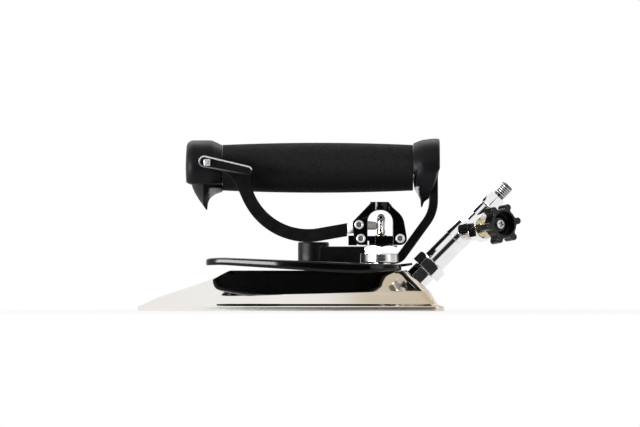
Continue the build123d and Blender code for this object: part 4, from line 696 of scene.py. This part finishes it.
def boss_swell(x, y, height):
    """How far the near side swells out at a point."""
    if y >= 0:
        return 0
    rise = within((height - SWELL_FOOT) / SWELL_HEIGHT) ** SWELL_POWER
    spread = exp(-(((x - BOSS_X) / BOSS_WIDTH) ** 2))
    return BOSS_SWELL * rise * spread * min(1, -y / SWELL_SIDE)


casting_loops = []
for *plan, at_nose, at_rear in smoothed(CASTING_LEVELS):
    nose, rear = plan[:2]
    loop = []
    for x, y in iron_outline(*plan):
        height = at_nose + (at_rear - at_nose) * (x - nose) / (rear - nose)
        loop.append(Vector((x, y - boss_swell(x, y, height), height)))
    casting_loops.append(loop)
casting_mesh = bmesh.new()
casting_dull = casting_mesh.verts.layers.float.new("dull")
skin(casting_mesh, casting_loops)
for point in casting_mesh.verts:
    point[casting_dull] = 1.0 if point.co.z > DULL_ABOVE else 0.0
spin_profile(casting_mesh, INLET_BOSS, INLET_FOOT, INLET_AXIS, INLET_UP)
soft_casting = make_piece("soft_casting", casting_mesh, "plated_casting", "iron", smooth_angle=60)
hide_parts("iron_body")

# Heat shield: a tray with a rolled rim that is low at the nose, and an upturned tail.
# A level is the inset from the outline, the share of the rim's drop and a drop of its own.
TRAY_NOSE, TRAY_REAR = -0.0612, 0.0800
TRAY_WIDEST = 0.0320
TRAY_HALF = 0.0450
TRAY_NOSE_R = 0.014
TRAY_CORNER_R = 0.030
TRAY_TOP = 0.0365
TRAY_SLOPE = tan(radians(2.3))
TRAY_LEVELS = [
    (0.0090, 0.0, 0.0),
    (0.0026, 0.0, 0.0),
    (0.0004, 0.10, 0.0),
    (0.0001, 0.25, 0.0),
    (0.0000, 0.80, 0.0),
    (0.0005, 1.0, 0.0),
    (0.0026, 1.0, 0.0),
    (0.0030, 0.0, 0.0024),
    (0.0100, 0.0, 0.0022),
]
NOSE_DIP = 0.0013
NOSE_DIP_LENGTH = 0.016
RIM_DEPTH = 0.0052
RIM_GAIN, RIM_GAIN_END = 0.0023, 0.030
RIM_LOSS, RIM_LOSS_START = 0.0034, 0.050
GLOSS_LEVELS = 3
TAIL = [
    (0.0680, 0.0),
    (0.0770, 0.0),
    (0.0876, 0.0016),
    (0.0876, -0.0002),
    (0.0770, -0.0022),
    (0.0680, -0.0022),
]
TAIL_HALF = 0.015
TAIL_TIP_X = 0.0875
TAIL_TIP_R = 0.006


def tray_drop(x):
    """Depth of the rim, low at the nose and where the tail begins."""
    front = within((x - TRAY_NOSE) / (RIM_GAIN_END - TRAY_NOSE))
    back = within((x - RIM_LOSS_START) / (TRAY_REAR - RIM_LOSS_START))
    return RIM_DEPTH + RIM_GAIN * front - RIM_LOSS * back


def tray_top(x):
    """Height of the tray's top face, which dips a little at the nose."""
    dip = max(1 - (x - TRAY_NOSE) / NOSE_DIP_LENGTH, 0)
    return TRAY_TOP - x * TRAY_SLOPE - NOSE_DIP * dip**2


tray_loops = []
tray_run = smoothed(TRAY_LEVELS)
for inset, share, own in tray_run:
    plan = iron_outline(
        TRAY_NOSE + inset,
        TRAY_REAR - inset,
        TRAY_HALF - inset,
        TRAY_NOSE_R - inset,
        TRAY_CORNER_R - inset,
        TRAY_WIDEST,
    )
    heights = [tray_top(x) - share * tray_drop(x) - own for x, y in plan]
    tray_loops.append([Vector((*spot, height)) for spot, height in zip(plan, heights)])
tray_mesh = bmesh.new()
tray_dull = tray_mesh.verts.layers.float.new("dull")
skin(tray_mesh, tray_loops)
tray_mesh.verts.ensure_lookup_table()
lip = max(range(len(tray_run)), key=lambda level: tray_run[level][1])
for point in tray_mesh.verts[(lip + GLOSS_LEVELS) * len(tray_loops[0]):]:
    point[tray_dull] = 1.0
tail_points = [Vector((x, -TAIL_HALF, TRAY_TOP - x * TRAY_SLOPE + lift)) for x, lift in TAIL]
tail_edges = chain(tray_mesh, tail_points, closed=True)[1]
tail_face = bmesh.ops.contextual_create(tray_mesh, geom=tail_edges)["faces"]
tail_run = bmesh.ops.extrude_face_region(tray_mesh, geom=tail_face)["geom"]
bmesh.ops.translate(tray_mesh, verts=points_of(tail_run), vec=(0, 2 * TAIL_HALF, 0))
tip_edges = []
for edge in tray_mesh.edges:
    first, second = (point.co for point in edge.verts)
    if min(first.x, second.x) > TAIL_TIP_X and abs(first.y - second.y) < TINY:
        tip_edges.append(edge)
round_edges(tray_mesh, tip_edges, TAIL_TIP_R, segments=8)
enamel_tray = make_piece("enamel_tray", tray_mesh, "gloss_black", "iron", smooth_angle=50)
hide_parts("heat_shield")

# Foam grip: a barrel with soft ends
GRIP_STEPS = 16
END_SOFT = 0.0005
END_LEAD = 0.3 * END_SOFT
grip_low, grip_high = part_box("grip_sleeve")
grip_length = grip_high.x - grip_low.x
barrel = [END_LEAD, END_SOFT]
barrel += [grip_length * step / GRIP_STEPS for step in range(1, GRIP_STEPS)]
barrel += [grip_length - END_SOFT, grip_length - END_LEAD]
end_radii = [GRIP_BORE_R, GRIP_END_R - 2 * END_SOFT, GRIP_END_R - END_SOFT / 3]
grip_profile = [(0, radius) for radius in end_radii]
for along in barrel:
    swell = 1 - (2 * along / grip_length - 1) ** 2
    grip_profile.append((along, GRIP_END_R + (GRIP_MID_R - GRIP_END_R) * swell))
grip_profile += [(grip_length, radius) for radius in reversed(end_radii)]
grip_mesh = bmesh.new()
spin_profile(grip_mesh, grip_profile, Vector((grip_low.x, 0, HANDLE_Z)), ALONG, UP)
foam_grip = make_piece("foam_grip", grip_mesh, "black_foam", "iron", smooth_angle=180)
rounding = foam_grip.modifiers.new("rounding", "SUBSURF")
rounding.levels = rounding.render_levels = 2
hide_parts("grip_sleeve")

# End caps: a turned bell whose underside is flattened softly, with a pointed finger guard below.
# A guard level is the drop below the handle's axis, front and rear edge and half width.
CAP_STEPS = 72
TUCK = 0.0035
TUCK_LENGTH = 0.006
GUARD_STEPS = 12
GUARD_MARGIN = 0.2
# Share of the pale painted highlight on the guards' flanks
HIGHLIGHT_SHARE = 0.7
BELL_NECK_R = 0.016


def bell_radius(profile, along):
    """Radius of a bell at a place along it, from the points of its profile."""
    for (low, low_r), (high, high_r) in zip(profile, profile[1:]):
        if low <= along <= high and low_r > BELL_NECK_R and high > low:
            return low_r + (high_r - low_r) * (along - low) / (high - low)
    return profile[1][1]


def at_drop(spot, least, most):
    """Whether a point lies between two drops below the handle's axis."""
    return HANDLE_Z - most < spot.z < HANDLE_Z - least


def end_cap(name, node, start, profile, cut, soft, end, ridge, fullness, levels, highlighted, taper):
    """A bell, cut softly at a drop and tucked in at its end, and a ridged guard with a painted
    highlight in places.
    """
    mesh = bmesh.new()
    painted_highlight = mesh.verts.layers.float.new("painted_highlight")
    spin_profile(mesh, smoothed(profile), Vector((start, 0, HANDLE_Z)), ALONG, UP, CAP_STEPS)
    tuck = TUCK if end == start else -TUCK
    for point in mesh.verts:
        below = HANDLE_Z - cut + soft - point.co.z
        if below > 0:
            share = tanh(below / soft)
            near_end = max(1 - abs(point.co.x - end) / TUCK_LENGTH, 0)
            point.co.z = HANDLE_Z - cut + soft * (1 - share)
            point.co.x += tuck * share**2 * near_end
    before = set(mesh.verts)
    loops = []
    for drop, front, rear, width in smoothed(levels, rounds=2):
        margin = GUARD_MARGIN * (rear - front)
        middle = min(max(ridge, front + margin), rear - margin)
        side = []
        for step in range(2 * GUARD_STEPS + 1):
            u = sin(pi / 2 * (step / GUARD_STEPS - 1))
            x = middle + (rear - middle if u > 0 else middle - front) * u
            side.append((x, -width * (1 - abs(u) ** fullness[0]) ** fullness[1] * taper(x)))
        plan = side + [(x, -y) for x, y in side[-2:0:-1]]
        loops.append([Vector((x, y, HANDLE_Z - drop)) for x, y in plan])
    skin(mesh, loops)
    # Painted highlight on the guard's flank
    for point in set(mesh.verts) - before:
        if highlighted(point.co):
            point[painted_highlight] = HIGHLIGHT_SHARE
    cap = make_piece(name, mesh, "black_plastic", "iron", smooth_angle=40)
    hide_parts(node)


FRONT_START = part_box("front_cap")[0].x
FRONT_PROFILE = [
    (0, 0),
    (0.0003, 0.0088),
    (0.0010, 0.0198),
    (0.0122, 0.0198),
    (0.0154, 0.0198),
    (0.0190, 0.0198),
    (0.0222, 0.0183),
    (0.0255, 0.01677),
    (0.0265, 0.0163),
    (0.0265, 0.0155),
    (0.0265, 0),
]
FRONT_GUARD = [
    (0.0080, -0.0719, -0.0506, 0.0145),
    (0.0125, -0.0715, -0.0492, 0.0148),
    (0.0155, -0.0704, -0.0490, 0.0132),
    (0.0175, -0.0695, -0.0490, 0.0119),
    (0.0188, -0.0688, -0.0539, 0.0109),
    (0.0215, -0.0672, -0.0577, 0.0086),
    (0.0242, -0.0654, -0.0593, 0.0061),
    (0.0270, -0.0634, -0.0599, 0.0036),
    (0.0295, -0.0617, -0.0601, 0.0015),
    (0.0304, -0.0609, -0.0602, 0.0003),
]
# Place of the pale painted highlight on the front guard
FRONT_HIGHLIGHT_X = -0.0585
FRONT_HIGHLIGHT_DROPS = (0.0150, 0.0235)
end_cap(
    "moulded_front_cap",
    "front_cap",
    start=FRONT_START,
    profile=FRONT_PROFILE,
    cut=0.0122,
    soft=0.0022,
    end=FRONT_START,
    ridge=-0.0630,
    fullness=(1.0, 0.75),
    levels=FRONT_GUARD,
    highlighted=lambda spot: spot.x > FRONT_HIGHLIGHT_X and at_drop(spot, *FRONT_HIGHLIGHT_DROPS),
    taper=lambda x: 1.0,
)
REAR_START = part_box("rear_cap")[0].x
REAR_LENGTH = 0.0192
REAR_PROFILE = [
    (0, 0),
    (0, 0.0168),
    (0, 0.0175),
    (0.0006, 0.0178),
    (0.0035, 0.0191),
    (0.0070, 0.0202),
    (0.0115, 0.0208),
    (0.0150, 0.0211),
    (0.0188, 0.0211),
    (REAR_LENGTH, 0.0175),
    (0.0190, 0.0100),
    (0.0186, 0),
]
# The bell's flank, without its ends
REAR_BELL = REAR_PROFILE[2:9]
REAR_BELL_R = 0.0207
REAR_GUARD = [
    (-0.0040, 0.0885, 0.1070, 0.02034),
    (-0.0020, 0.0885, 0.1070, 0.02063),
    (0.0000, 0.0884, 0.1069, 0.02073),
    (0.0043, 0.0883, 0.1067, 0.0205),
    (0.0081, 0.0883, 0.1057, 0.0189),
    (0.0126, 0.0887, 0.1042, 0.0162),
    (0.0149, 0.0892, 0.1032, 0.0144),
    (0.0176, 0.0905, 0.1020, 0.0119),
    (0.0203, 0.0921, 0.1006, 0.0092),
    (0.0226, 0.0932, 0.0992, 0.0070),
    (0.0236, 0.0935, 0.0975, 0.0058),
    (0.0252, 0.0936, 0.0958, 0.0040),
    (0.0278, 0.0938, 0.0951, 0.0012),
    (0.0285, 0.0940, 0.0948, 0.0004),
]
# Place of the pale painted highlight on the rear guard
REAR_HIGHLIGHT_X = 0.0922
REAR_HIGHLIGHT_DROPS = (0.0135, 0.0215)
end_cap(
    "moulded_rear_cap",
    "rear_cap",
    start=REAR_START,
    profile=REAR_PROFILE,
    cut=0.0050,
    soft=0.0050,
    end=REAR_START + REAR_LENGTH,
    ridge=0.0990,
    fullness=(12.0, 1.0),
    levels=REAR_GUARD,
    highlighted=lambda spot: spot.x < REAR_HIGHLIGHT_X and at_drop(spot, *REAR_HIGHLIGHT_DROPS),
    taper=lambda x: bell_radius(REAR_BELL, x - REAR_START) / REAR_BELL_R,
)

# Socket screws: domed heads with a hexagon socket, shanks through the yoke
HEAD_EDGE = 0.0007
SOCKET_LIP = 0.00215
SOCKET_R = 0.0019
SOCKET_SINK = 0.0002
SOCKET_DEPTH = 0.0020
SOCKET_CUTS = 7


def socket_screws(name, node, places):
    """Screws with their seats at places on the yoke's near face."""
    mesh = fresh_mesh()
    profile = [(YOKE_HEAD_HEIGHT, SOCKET_LIP)]
    profile += rounded(YOKE_HEAD_HEIGHT, YOKE_HEAD_R, HEAD_EDGE)
    profile += [(0, YOKE_HEAD_R), (0, YOKE_SCREW_R), (-YOKE_SCREW_REACH, YOKE_SCREW_R)]
    profile += [(-YOKE_SCREW_REACH, 0)]
    for x, z in places:
        seat = Vector((x, YOKE_FACE, z))
        spin_profile(mesh, profile, seat, TOWARD, UP)
        rim = rim_edges(mesh, seat, TOWARD, YOKE_HEAD_HEIGHT, SOCKET_LIP)
        corners = ring_points(seat + TOWARD * YOKE_HEAD_HEIGHT, UP, ALONG, SOCKET_R, count=6)
        recess(mesh, rim, corners, TOWARD, SOCKET_SINK, SOCKET_DEPTH, SOCKET_CUTS)
    screws = make_piece(name, mesh, "bright_screws", "iron")
    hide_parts(node)


socket_screws("clamp_screw_heads", "yoke_screws", CLAMP_SCREWS)
socket_screws("pivot_screw_head", "pivot_screw", PIVOT_SCREW)

# Yoke: its round crown is bevelled at the top, on the side of the inlet
yoke_mesh = joined_copy("yoke")
bevel_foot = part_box("yoke")[1].z - CROWN_BEVEL_DROP
bmesh.ops.bisect_plane(
    yoke_mesh,
    geom=[*yoke_mesh.verts, *yoke_mesh.edges, *yoke_mesh.faces],
    dist=TINY,
    plane_co=(0, 0, bevel_foot),
    plane_no=UP,
)
for point in yoke_mesh.verts:
    rise = (point.co.z - bevel_foot) / CROWN_BEVEL_DROP
    away = Vector((point.co.x - VALVE_X, point.co.y - VALVE_Y))
    limit = CROWN_R - CROWN_BEVEL * rise * within(away.x / CROWN_BEVEL)
    if rise > 0 and away.x > 0 and away.length > limit:
        away *= limit / away.length
        point.co.x, point.co.y = VALVE_X + away.x, VALVE_Y + away.y
arched_yoke = make_piece("arched_yoke", yoke_mesh, "gloss_black", "iron", smooth_angle=20)
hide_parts("yoke")

# Valve stem: dark plates of painted shade sit in its slit, and a ring lies round its eye, painted
# dark as shade in its groove and hole.
# A row of the eye's profile is the place along its axis, the radius and the painted shade.
EYE_PROFILE = [
    (0.0022, 0.0025, 0),
    (0.0031, 0.0025, 1),
    (0.0031, 0.0020, 1),
    (0.0036, 0.00175, 0),
    (0.0036, 0.0012, 0),
    (0.0030, 0.0010, 1),
    (0.0030, 0.0, 1),
]
EYE_STEPS = 32
stem_mesh = joined_copy("valve_stem")
stem_shade = stem_mesh.verts.layers.float.new("painted_shade")
eye = Vector((VALVE_X, VALVE_Y, EYE_Z))
slit_middle = Vector((VALVE_X, VALVE_Y, (SLIT_LOW + SLIT_HIGH) / 2))
slit_shade_size = Matrix.Diagonal((SLIT_WIDTH, SLIT_SHADE_THICKNESS, SLIT_HIGH - SLIT_LOW, 1))
for facing in (TOWARD, -TOWARD):
    before = set(stem_mesh.verts)
    slit_shade_place = Matrix.Translation(slit_middle + facing * SLIT_SHADE_OFFSET)
    bmesh.ops.create_cube(stem_mesh, size=1.0, matrix=slit_shade_place @ slit_shade_size)
    mark_new(stem_mesh, before, stem_shade, 1.0)
    before = set(stem_mesh.verts)
    spin_profile(stem_mesh, [row[:2] for row in EYE_PROFILE], eye, facing, UP, EYE_STEPS)
    for point in set(stem_mesh.verts) - before:
        along, reach = polar(point.co, eye, facing)
        misses = [abs(row[0] - along) + abs(row[1] - reach) for row in EYE_PROFILE]
        point[stem_shade] = EYE_PROFILE[misses.index(min(misses))][2]
split_stem = make_piece("split_stem", stem_mesh, "brushed_nickel", "stem", smooth_angle=5)
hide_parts("valve_stem")

# Lever tang: ground dull all over
tang_mesh = joined_copy("lever_tang")
tang_dull = tang_mesh.verts.layers.float.new("dull")
for point in tang_mesh.verts:
    point[tang_dull] = 1.0
dull_tang = make_piece("dull_tang", tang_mesh, "brushed_nickel", "lever")
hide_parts("lever_tang")

# Return spring: a joined copy with a mesh of its own; on the iron it shortens as the lever lifts
# the stem
coil = make_piece("coil", joined_copy("return_spring"), "plain_steel", "iron", smooth_angle=60)
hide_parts("return_spring")
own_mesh(coil)

# Screw of the hand wheel: a low dome with a cross recess
CROSS_REACH = 0.0021
CROSS_HALF = 0.00055
CROSS_LIP = 0.0024
CROSS_TURN = radians(-14)
CROSS_SINK = 0.00005
CROSS_DEPTH = 0.0012
CROSS_CUTS = 3
DOME_DROP = 0.00012
DOME_WIDTH = 0.0003
DOME_SHOULDER = 0.0003
screw_mesh = fresh_mesh()
screw_seat = BRANCH_FOOT + BRANCH_AXIS * WHEEL_SCREW_SEAT
screw_side = (UP - BRANCH_AXIS * BRANCH_AXIS.z).normalized()
screw_other = BRANCH_AXIS.cross(screw_side)
screw_profile = [
    (WHEEL_SCREW_HEIGHT, CROSS_LIP),
    (WHEEL_SCREW_HEIGHT - DOME_DROP, CROSS_LIP + DOME_WIDTH),
    *rounded(WHEEL_SCREW_HEIGHT - DOME_SHOULDER, WHEEL_SCREW_R, HEAD_EDGE),
    (0, WHEEL_SCREW_R),
    (0, WHEEL_SCREW_SHANK_R),
    (-WHEEL_SCREW_LENGTH, WHEEL_SCREW_SHANK_R),
    (-WHEEL_SCREW_LENGTH, 0),
]
spin_profile(screw_mesh, screw_profile, screw_seat, BRANCH_AXIS, screw_side)
cross_top = screw_seat + BRANCH_AXIS * WHEEL_SCREW_HEIGHT
cross_corners = []
for arm in range(4):
    turn = CROSS_TURN + arm * pi / 2
    outward = screw_side * cos(turn) + screw_other * sin(turn)
    across = BRANCH_AXIS.cross(outward) * CROSS_HALF
    cross_corners.append(cross_top + outward * CROSS_REACH - across)
    cross_corners.append(cross_top + outward * CROSS_REACH + across)
    cross_corners.append(cross_top + outward * CROSS_HALF + across)
cross_rim = rim_edges(screw_mesh, screw_seat, BRANCH_AXIS, WHEEL_SCREW_HEIGHT, CROSS_LIP)
recess(screw_mesh, cross_rim, cross_corners, BRANCH_AXIS, CROSS_SINK, CROSS_DEPTH, CROSS_CUTS)
cross_screw = make_piece("cross_screw", screw_mesh, "bright_screws", "wheel")
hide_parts("wheel_screw")

# Hose nipple: hexagon, relief and a cut thread, with painted shade in the thread's roots
HEX_EDGE = 0.00035
CORE_SINK = 0.001
CORE_CHAMFER = 0.0007
CORE_CHAMFER_R = 0.0005
# Painted shade in the roots of the thread and on its core
THREAD_SHADE = 0.9
THREAD_TURNS = 5
THREAD_STEPS = 40
TOOTH_LEAD = 0.0008
TOOTH_START = RELIEF_LENGTH + TOOTH_LEAD
TOOTH_FOOT = 0.00062
TOOTH_CREST = 0.00016
TOOTH_SINK = 0.0001
CREST_BAND = 0.0002
nipple_mesh = fresh_mesh()
hex_plane = Matrix((INLET_UP, -TOWARD, INLET_AXIS)).transposed().to_4x4()
hex_middle = INLET_FOOT + INLET_AXIS * (NIPPLE_START + NIPPLE_HEX_LENGTH / 2)
bmesh.ops.create_cone(
    nipple_mesh,
    cap_ends=True,
    segments=6,
    radius1=NIPPLE_AF / sqrt(3),
    radius2=NIPPLE_AF / sqrt(3),
    depth=NIPPLE_HEX_LENGTH,
    matrix=Matrix.Translation(hex_middle) @ hex_plane,
)
round_edges(nipple_mesh, list(nipple_mesh.edges), HEX_EDGE, segments=2)
nipple_shade = nipple_mesh.verts.layers.float["painted_shade"]
thread_foot = INLET_FOOT + INLET_AXIS * (NIPPLE_START + NIPPLE_HEX_LENGTH)
thread_end = RELIEF_LENGTH + THREAD_LENGTH
root_r = THREAD_R - THREAD_DEPTH
core_profile = [
    (-CORE_SINK, HOSE_BORE_R),
    (-CORE_SINK, root_r),
    (thread_end - CORE_CHAMFER, root_r),
    (thread_end, root_r - CORE_CHAMFER_R),
    (thread_end, HOSE_BORE_R),
    (-CORE_SINK, HOSE_BORE_R),
]
before = set(nipple_mesh.verts)
spin_profile(nipple_mesh, core_profile, thread_foot, INLET_AXIS, INLET_UP)
mark_new(nipple_mesh, before, nipple_shade, THREAD_SHADE)
tooth = [
    (-TOOTH_FOOT, root_r - TOOTH_SINK),
    (-TOOTH_CREST, THREAD_R),
    (TOOTH_CREST, THREAD_R),
    (TOOTH_FOOT, root_r - TOOTH_SINK),
]
tooth_points = []
for along, radius in tooth:
    tooth_points.append(thread_foot + INLET_AXIS * (TOOTH_START + along) + INLET_UP * radius)
before = set(nipple_mesh.verts)
tooth_corners, tooth_edges = chain(nipple_mesh, tooth_points, closed=True)
tooth_face = bmesh.ops.contextual_create(nipple_mesh, geom=tooth_edges)["faces"]
bmesh.ops.spin(
    nipple_mesh,
    geom=tooth_corners + tooth_edges + tooth_face,
    cent=thread_foot,
    axis=INLET_AXIS,
    dvec=INLET_AXIS * (THREAD_PITCH / THREAD_STEPS),
    angle=2 * pi * THREAD_TURNS,
    steps=THREAD_STEPS * THREAD_TURNS,
)
# Painted shade on the thread below its crests
for point in set(nipple_mesh.verts) - before:
    reach = polar(point.co, thread_foot, INLET_AXIS)[1]
    point[nipple_shade] = THREAD_SHADE if reach < THREAD_R - CREST_BAND else 0.0
cut_nipple = make_piece("cut_nipple", nipple_mesh, "bright_chrome", "iron")
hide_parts("hose_nipple")

# Thumb pad: a long drop shape with a rounded bead round its sunk face, and a painted highlight
# along the bead's top and front end
PAD_ARC = 24
PAD_BEAD = 0.0010
PAD_BEAD_SLOPE = 0.0003
PAD_SINK = 0.0008
PAD_EDGE = 0.00042
PAD_SHARP = radians(30)
PAD_FACE_BAND = 0.0003
PAD_MIDDLE_BAND = 0.001
PAD_HIGHLIGHT_FRONT = -0.052
PAD_HIGHLIGHT, PAD_WEAK_HIGHLIGHT = 0.9, 0.25
pad_run = TAB_REAR - TAB_FRONT
pad_tilt = atan2(pad_run.z, pad_run.x)
pad_spread = acos((TAB_FRONT_R - TAB_REAR_R) / pad_run.length)
pad_outline = []
for centre, radius, start, sweep in (
    (TAB_FRONT, TAB_FRONT_R, pad_tilt + pad_spread, 2 * (pi - pad_spread)),
    (TAB_REAR, TAB_REAR_R, pad_tilt - pad_spread, 2 * pad_spread),
):
    for step in range(PAD_ARC + 1):
        turn = start + sweep * step / PAD_ARC
        spot = centre + Vector((cos(turn), 0, sin(turn))) * radius
        pad_outline.append(Vector((spot.x, TAB_FACE_Y, spot.z)))
pad_mesh = bmesh.new()
pad_highlight = pad_mesh.verts.layers.float.new("painted_highlight")
pad_edges = chain(pad_mesh, pad_outline, closed=True)[1]
pad_face = bmesh.ops.contextual_create(pad_mesh, geom=pad_edges)["faces"]
pad_back = points_of(bmesh.ops.extrude_edge_only(pad_mesh, edges=pad_edges)["geom"])
bmesh.ops.translate(pad_mesh, verts=pad_back, vec=(0, TAB_BACK_Y - TAB_FACE_Y, 0))
back_edges = [edge for edge in pad_mesh.edges if all(point in pad_back for point in edge.verts)]
bmesh.ops.edgeloop_fill(pad_mesh, edges=back_edges)
bmesh.ops.recalc_face_normals(pad_mesh, faces=pad_mesh.faces)
for width in (PAD_BEAD, PAD_BEAD_SLOPE):
    bmesh.ops.inset_region(pad_mesh, faces=pad_face, thickness=width, use_even_offset=True)
sunk = list({point for face in pad_face for point in face.verts})
bmesh.ops.translate(pad_mesh, verts=sunk, vec=(0, PAD_SINK, 0))
bead = []
for edge in pad_mesh.edges:
    level = all(abs(point.co.y - TAB_FACE_Y) < TINY for point in edge.verts)
    if level and len(edge.link_faces) == 2 and edge.calc_face_angle() > PAD_SHARP:
        bead.append(edge)
round_edges(pad_mesh, bead, PAD_EDGE, segments=3)
# Painted highlight: the bead pale along its top and front end, less so along its lower front
for point in pad_mesh.verts:
    above = (point.co - TAB_FRONT).cross(pad_run).y / pad_run.length
    if point.co.y < TAB_FACE_Y + PAD_FACE_BAND:
        share = PAD_HIGHLIGHT if above > -PAD_MIDDLE_BAND else PAD_WEAK_HIGHLIGHT
        in_highlight = above > PAD_MIDDLE_BAND or point.co.x < PAD_HIGHLIGHT_FRONT
        point[pad_highlight] = share if in_highlight else 0.0
thumb_pad = make_piece("thumb_pad", pad_mesh, "black_plastic", "lever", smooth_angle=50)
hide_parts("thumb_tab")

# Rivet of the thumb pad: a square with a pillowed face
RIVET_EDGE = 0.0007
rivet_mesh = bmesh.new()
rivet_depth = TAB_BACK_Y - RIVET_FACE_Y
rivet_middle = Vector((RIVET.x, (TAB_BACK_Y + RIVET_FACE_Y) / 2, RIVET.z))
rivet_size = Matrix.Diagonal((RIVET_SIDE, rivet_depth, RIVET_SIDE, 1))
bmesh.ops.create_cube(rivet_mesh, size=1.0, matrix=Matrix.Translation(rivet_middle) @ rivet_size)
rivet_edges = []
for edge in rivet_mesh.edges:
    if any(abs(point.co.y - RIVET_FACE_Y) < TINY for point in edge.verts):
        rivet_edges.append(edge)
round_edges(rivet_mesh, rivet_edges, RIVET_EDGE, segments=4)
pillow_rivet = make_piece("pillow_rivet", rivet_mesh, "bright_screws", "lever", smooth_angle=50)
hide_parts("tab_rivet")

# Floor: a plain pale sheet that keeps a soft shadow near the part, dark in front to reflections
FLOOR_SIZE = 30.0
FLOOR_DROP = 0.0004
FLOOR_GREY = (0.88, 0.88, 0.88)
GLOW_REACH = (0.2, 0.9)
GLOW_SHARES = (0.8, 1.0)
WEDGE_SPREAD = 0.7
WEDGE_ENDS = (-0.35, -0.12)
WEDGE_LEVEL = 0.03


def pale_floor():
    mesh = bmesh.new()
    bmesh.ops.create_grid(mesh, x_segments=1, y_segments=1, size=FLOOR_SIZE)
    bmesh.ops.translate(mesh, verts=mesh.verts, vec=(0, 0, -FLOOR_DROP))
    data = bpy.data.meshes.new("floor")
    mesh.to_mesh(data)
    mesh.free()
    floor = placed("floor", data)
    paint = bpy.data.materials.new("floor_paint")
    data.materials.append(paint)
    tree = Nodes(paint)
    tree.tree.nodes.clear()
    place = tree.node("TexCoord").outputs["Object"]
    distance = tree.node("VectorMath")
    distance.operation = "LENGTH"
    tree.link(place, distance.inputs[0])
    split = tree.node("SeparateXYZ")
    tree.link(place, split.inputs[0])
    x, y, _ = split.outputs
    path = tree.node("LightPath").outputs
    seen = tree.maths("MAXIMUM", path["Is Camera Ray"], path["Is Glossy Ray"])
    fade = tree.ramp(distance.outputs["Value"], GLOW_REACH, *GLOW_SHARES)
    wedge = tree.maths("MULTIPLY_ADD", tree.maths("ABSOLUTE", x), WEDGE_SPREAD, y)
    front = tree.ramp(wedge, WEDGE_ENDS, low=WEDGE_LEVEL)
    bright = tree.maths("MAXIMUM", path["Is Camera Ray"], front)
    matt = tree.output("BsdfDiffuse", Color=FLOOR_GREY)
    glow = tree.output("Emission", Strength=bright)
    tree.show("OutputMaterial", tree.choose(tree.maths("MULTIPLY", seen, fade), matt, glow))


pale_floor()

# Studio: white surround, a dark opening toward the camera, a warm ceiling over it, a brown end.
# The ends of each form are parts of a direction's length.
WHITE = (1.0, 1.0, 1.0)
FILL = 0.42
ROOM_WHITE = (0.97, 0.97, 0.97)
CEILING_WARM = (0.70, 0.63, 0.53)
CEILING_X, CEILING_Z = (-0.25, 0.05), (0.72, 0.92)
END_BROWN = (0.42, 0.35, 0.29)
END_X = (0.86, 0.97)
OPENING_BLACK = (0.02, 0.02, 0.021)
OPENING_Y, OPENING_Z = (-0.62, -0.93), (0.45, 0.28)


def studio_world():
    world = bpy.data.worlds.new("studio")
    bpy.context.scene.world = world
    tree = Nodes(world)
    tree.tree.nodes.clear()
    ways = tree.node("SeparateXYZ")
    tree.link(tree.node("TexCoord").outputs["Generated"], ways.inputs[0])
    x, y, z = ways.outputs
    ceiling = tree.maths("MULTIPLY", tree.ramp(z, CEILING_Z), tree.ramp(x, CEILING_X))
    opening = tree.maths("MULTIPLY", tree.ramp(y, OPENING_Y), tree.ramp(z, OPENING_Z))
    room = tree.blend(ceiling, ROOM_WHITE, CEILING_WARM)
    room = tree.blend(tree.ramp(x, END_X), room, END_BROWN)
    room = tree.blend(opening, room, OPENING_BLACK)
    path = tree.node("LightPath").outputs
    fill = tree.output("Background", Color=WHITE, Strength=FILL)
    mirrored = tree.output("Background", Color=room, Strength=1.0)
    backdrop = tree.output("Background", Color=WHITE, Strength=1.0)
    unseen = tree.choose(path["Is Glossy Ray"], fill, mirrored)
    tree.show("OutputWorld", tree.choose(path["Is Camera Ray"], unseen, backdrop))


studio_world()

LAMP_AIM = Vector((0.02, 0, 0.06))


def softbox(name, place, width, height, power):
    """Soft lamp turned toward the part, out of the camera's sight."""
    lamp = bpy.data.lights.new(name, "AREA")
    lamp.shape = "RECTANGLE"
    lamp.size = width
    lamp.size_y = height
    lamp.energy = power
    box = placed(name, lamp)
    box.location = place
    box.rotation_euler = (LAMP_AIM - Vector(place)).to_track_quat("-Z", "Y").to_euler()
    box.visible_camera = False
    return box


left_box = softbox("left_box", (-1.21, -0.70, 0.16), width=1.16, height=0.28, power=25)
softbox("right_box", (1.07, -0.90, 0.26), width=0.96, height=0.42, power=1.3)
top_box = softbox("top_box", (0.0, 0.95, 1.35), width=2.2, height=1.0, power=15)

# The polished casting mirrors the room but not these two lamps, which would wash out its nose
spared = bpy.data.collections.new("spared")
for polished in (soft_casting, nodes["sole_plate"]):
    spared.objects.link(polished)
for row in spared.collection_objects:
    row.light_linking.link_state = "EXCLUDE"
for box in (left_box, top_box):
    box.light_linking.receiver_collection = spared

camera_data = bpy.data.cameras.new("camera")
camera = placed("camera", camera_data)
camera.location = CAMERA_PLACE
camera.rotation_euler = (CAMERA_AIM - CAMERA_PLACE).to_track_quat("-Z", "Y").to_euler()
camera_data.sensor_width = SENSOR
camera_data.lens = SENSOR * (CAMERA_AIM - CAMERA_PLACE).length / PICTURE_WIDTH
camera_data.clip_end = CLIP_END
bpy.context.scene.camera = camera

bpy.context.scene.view_settings.view_transform = "Standard"
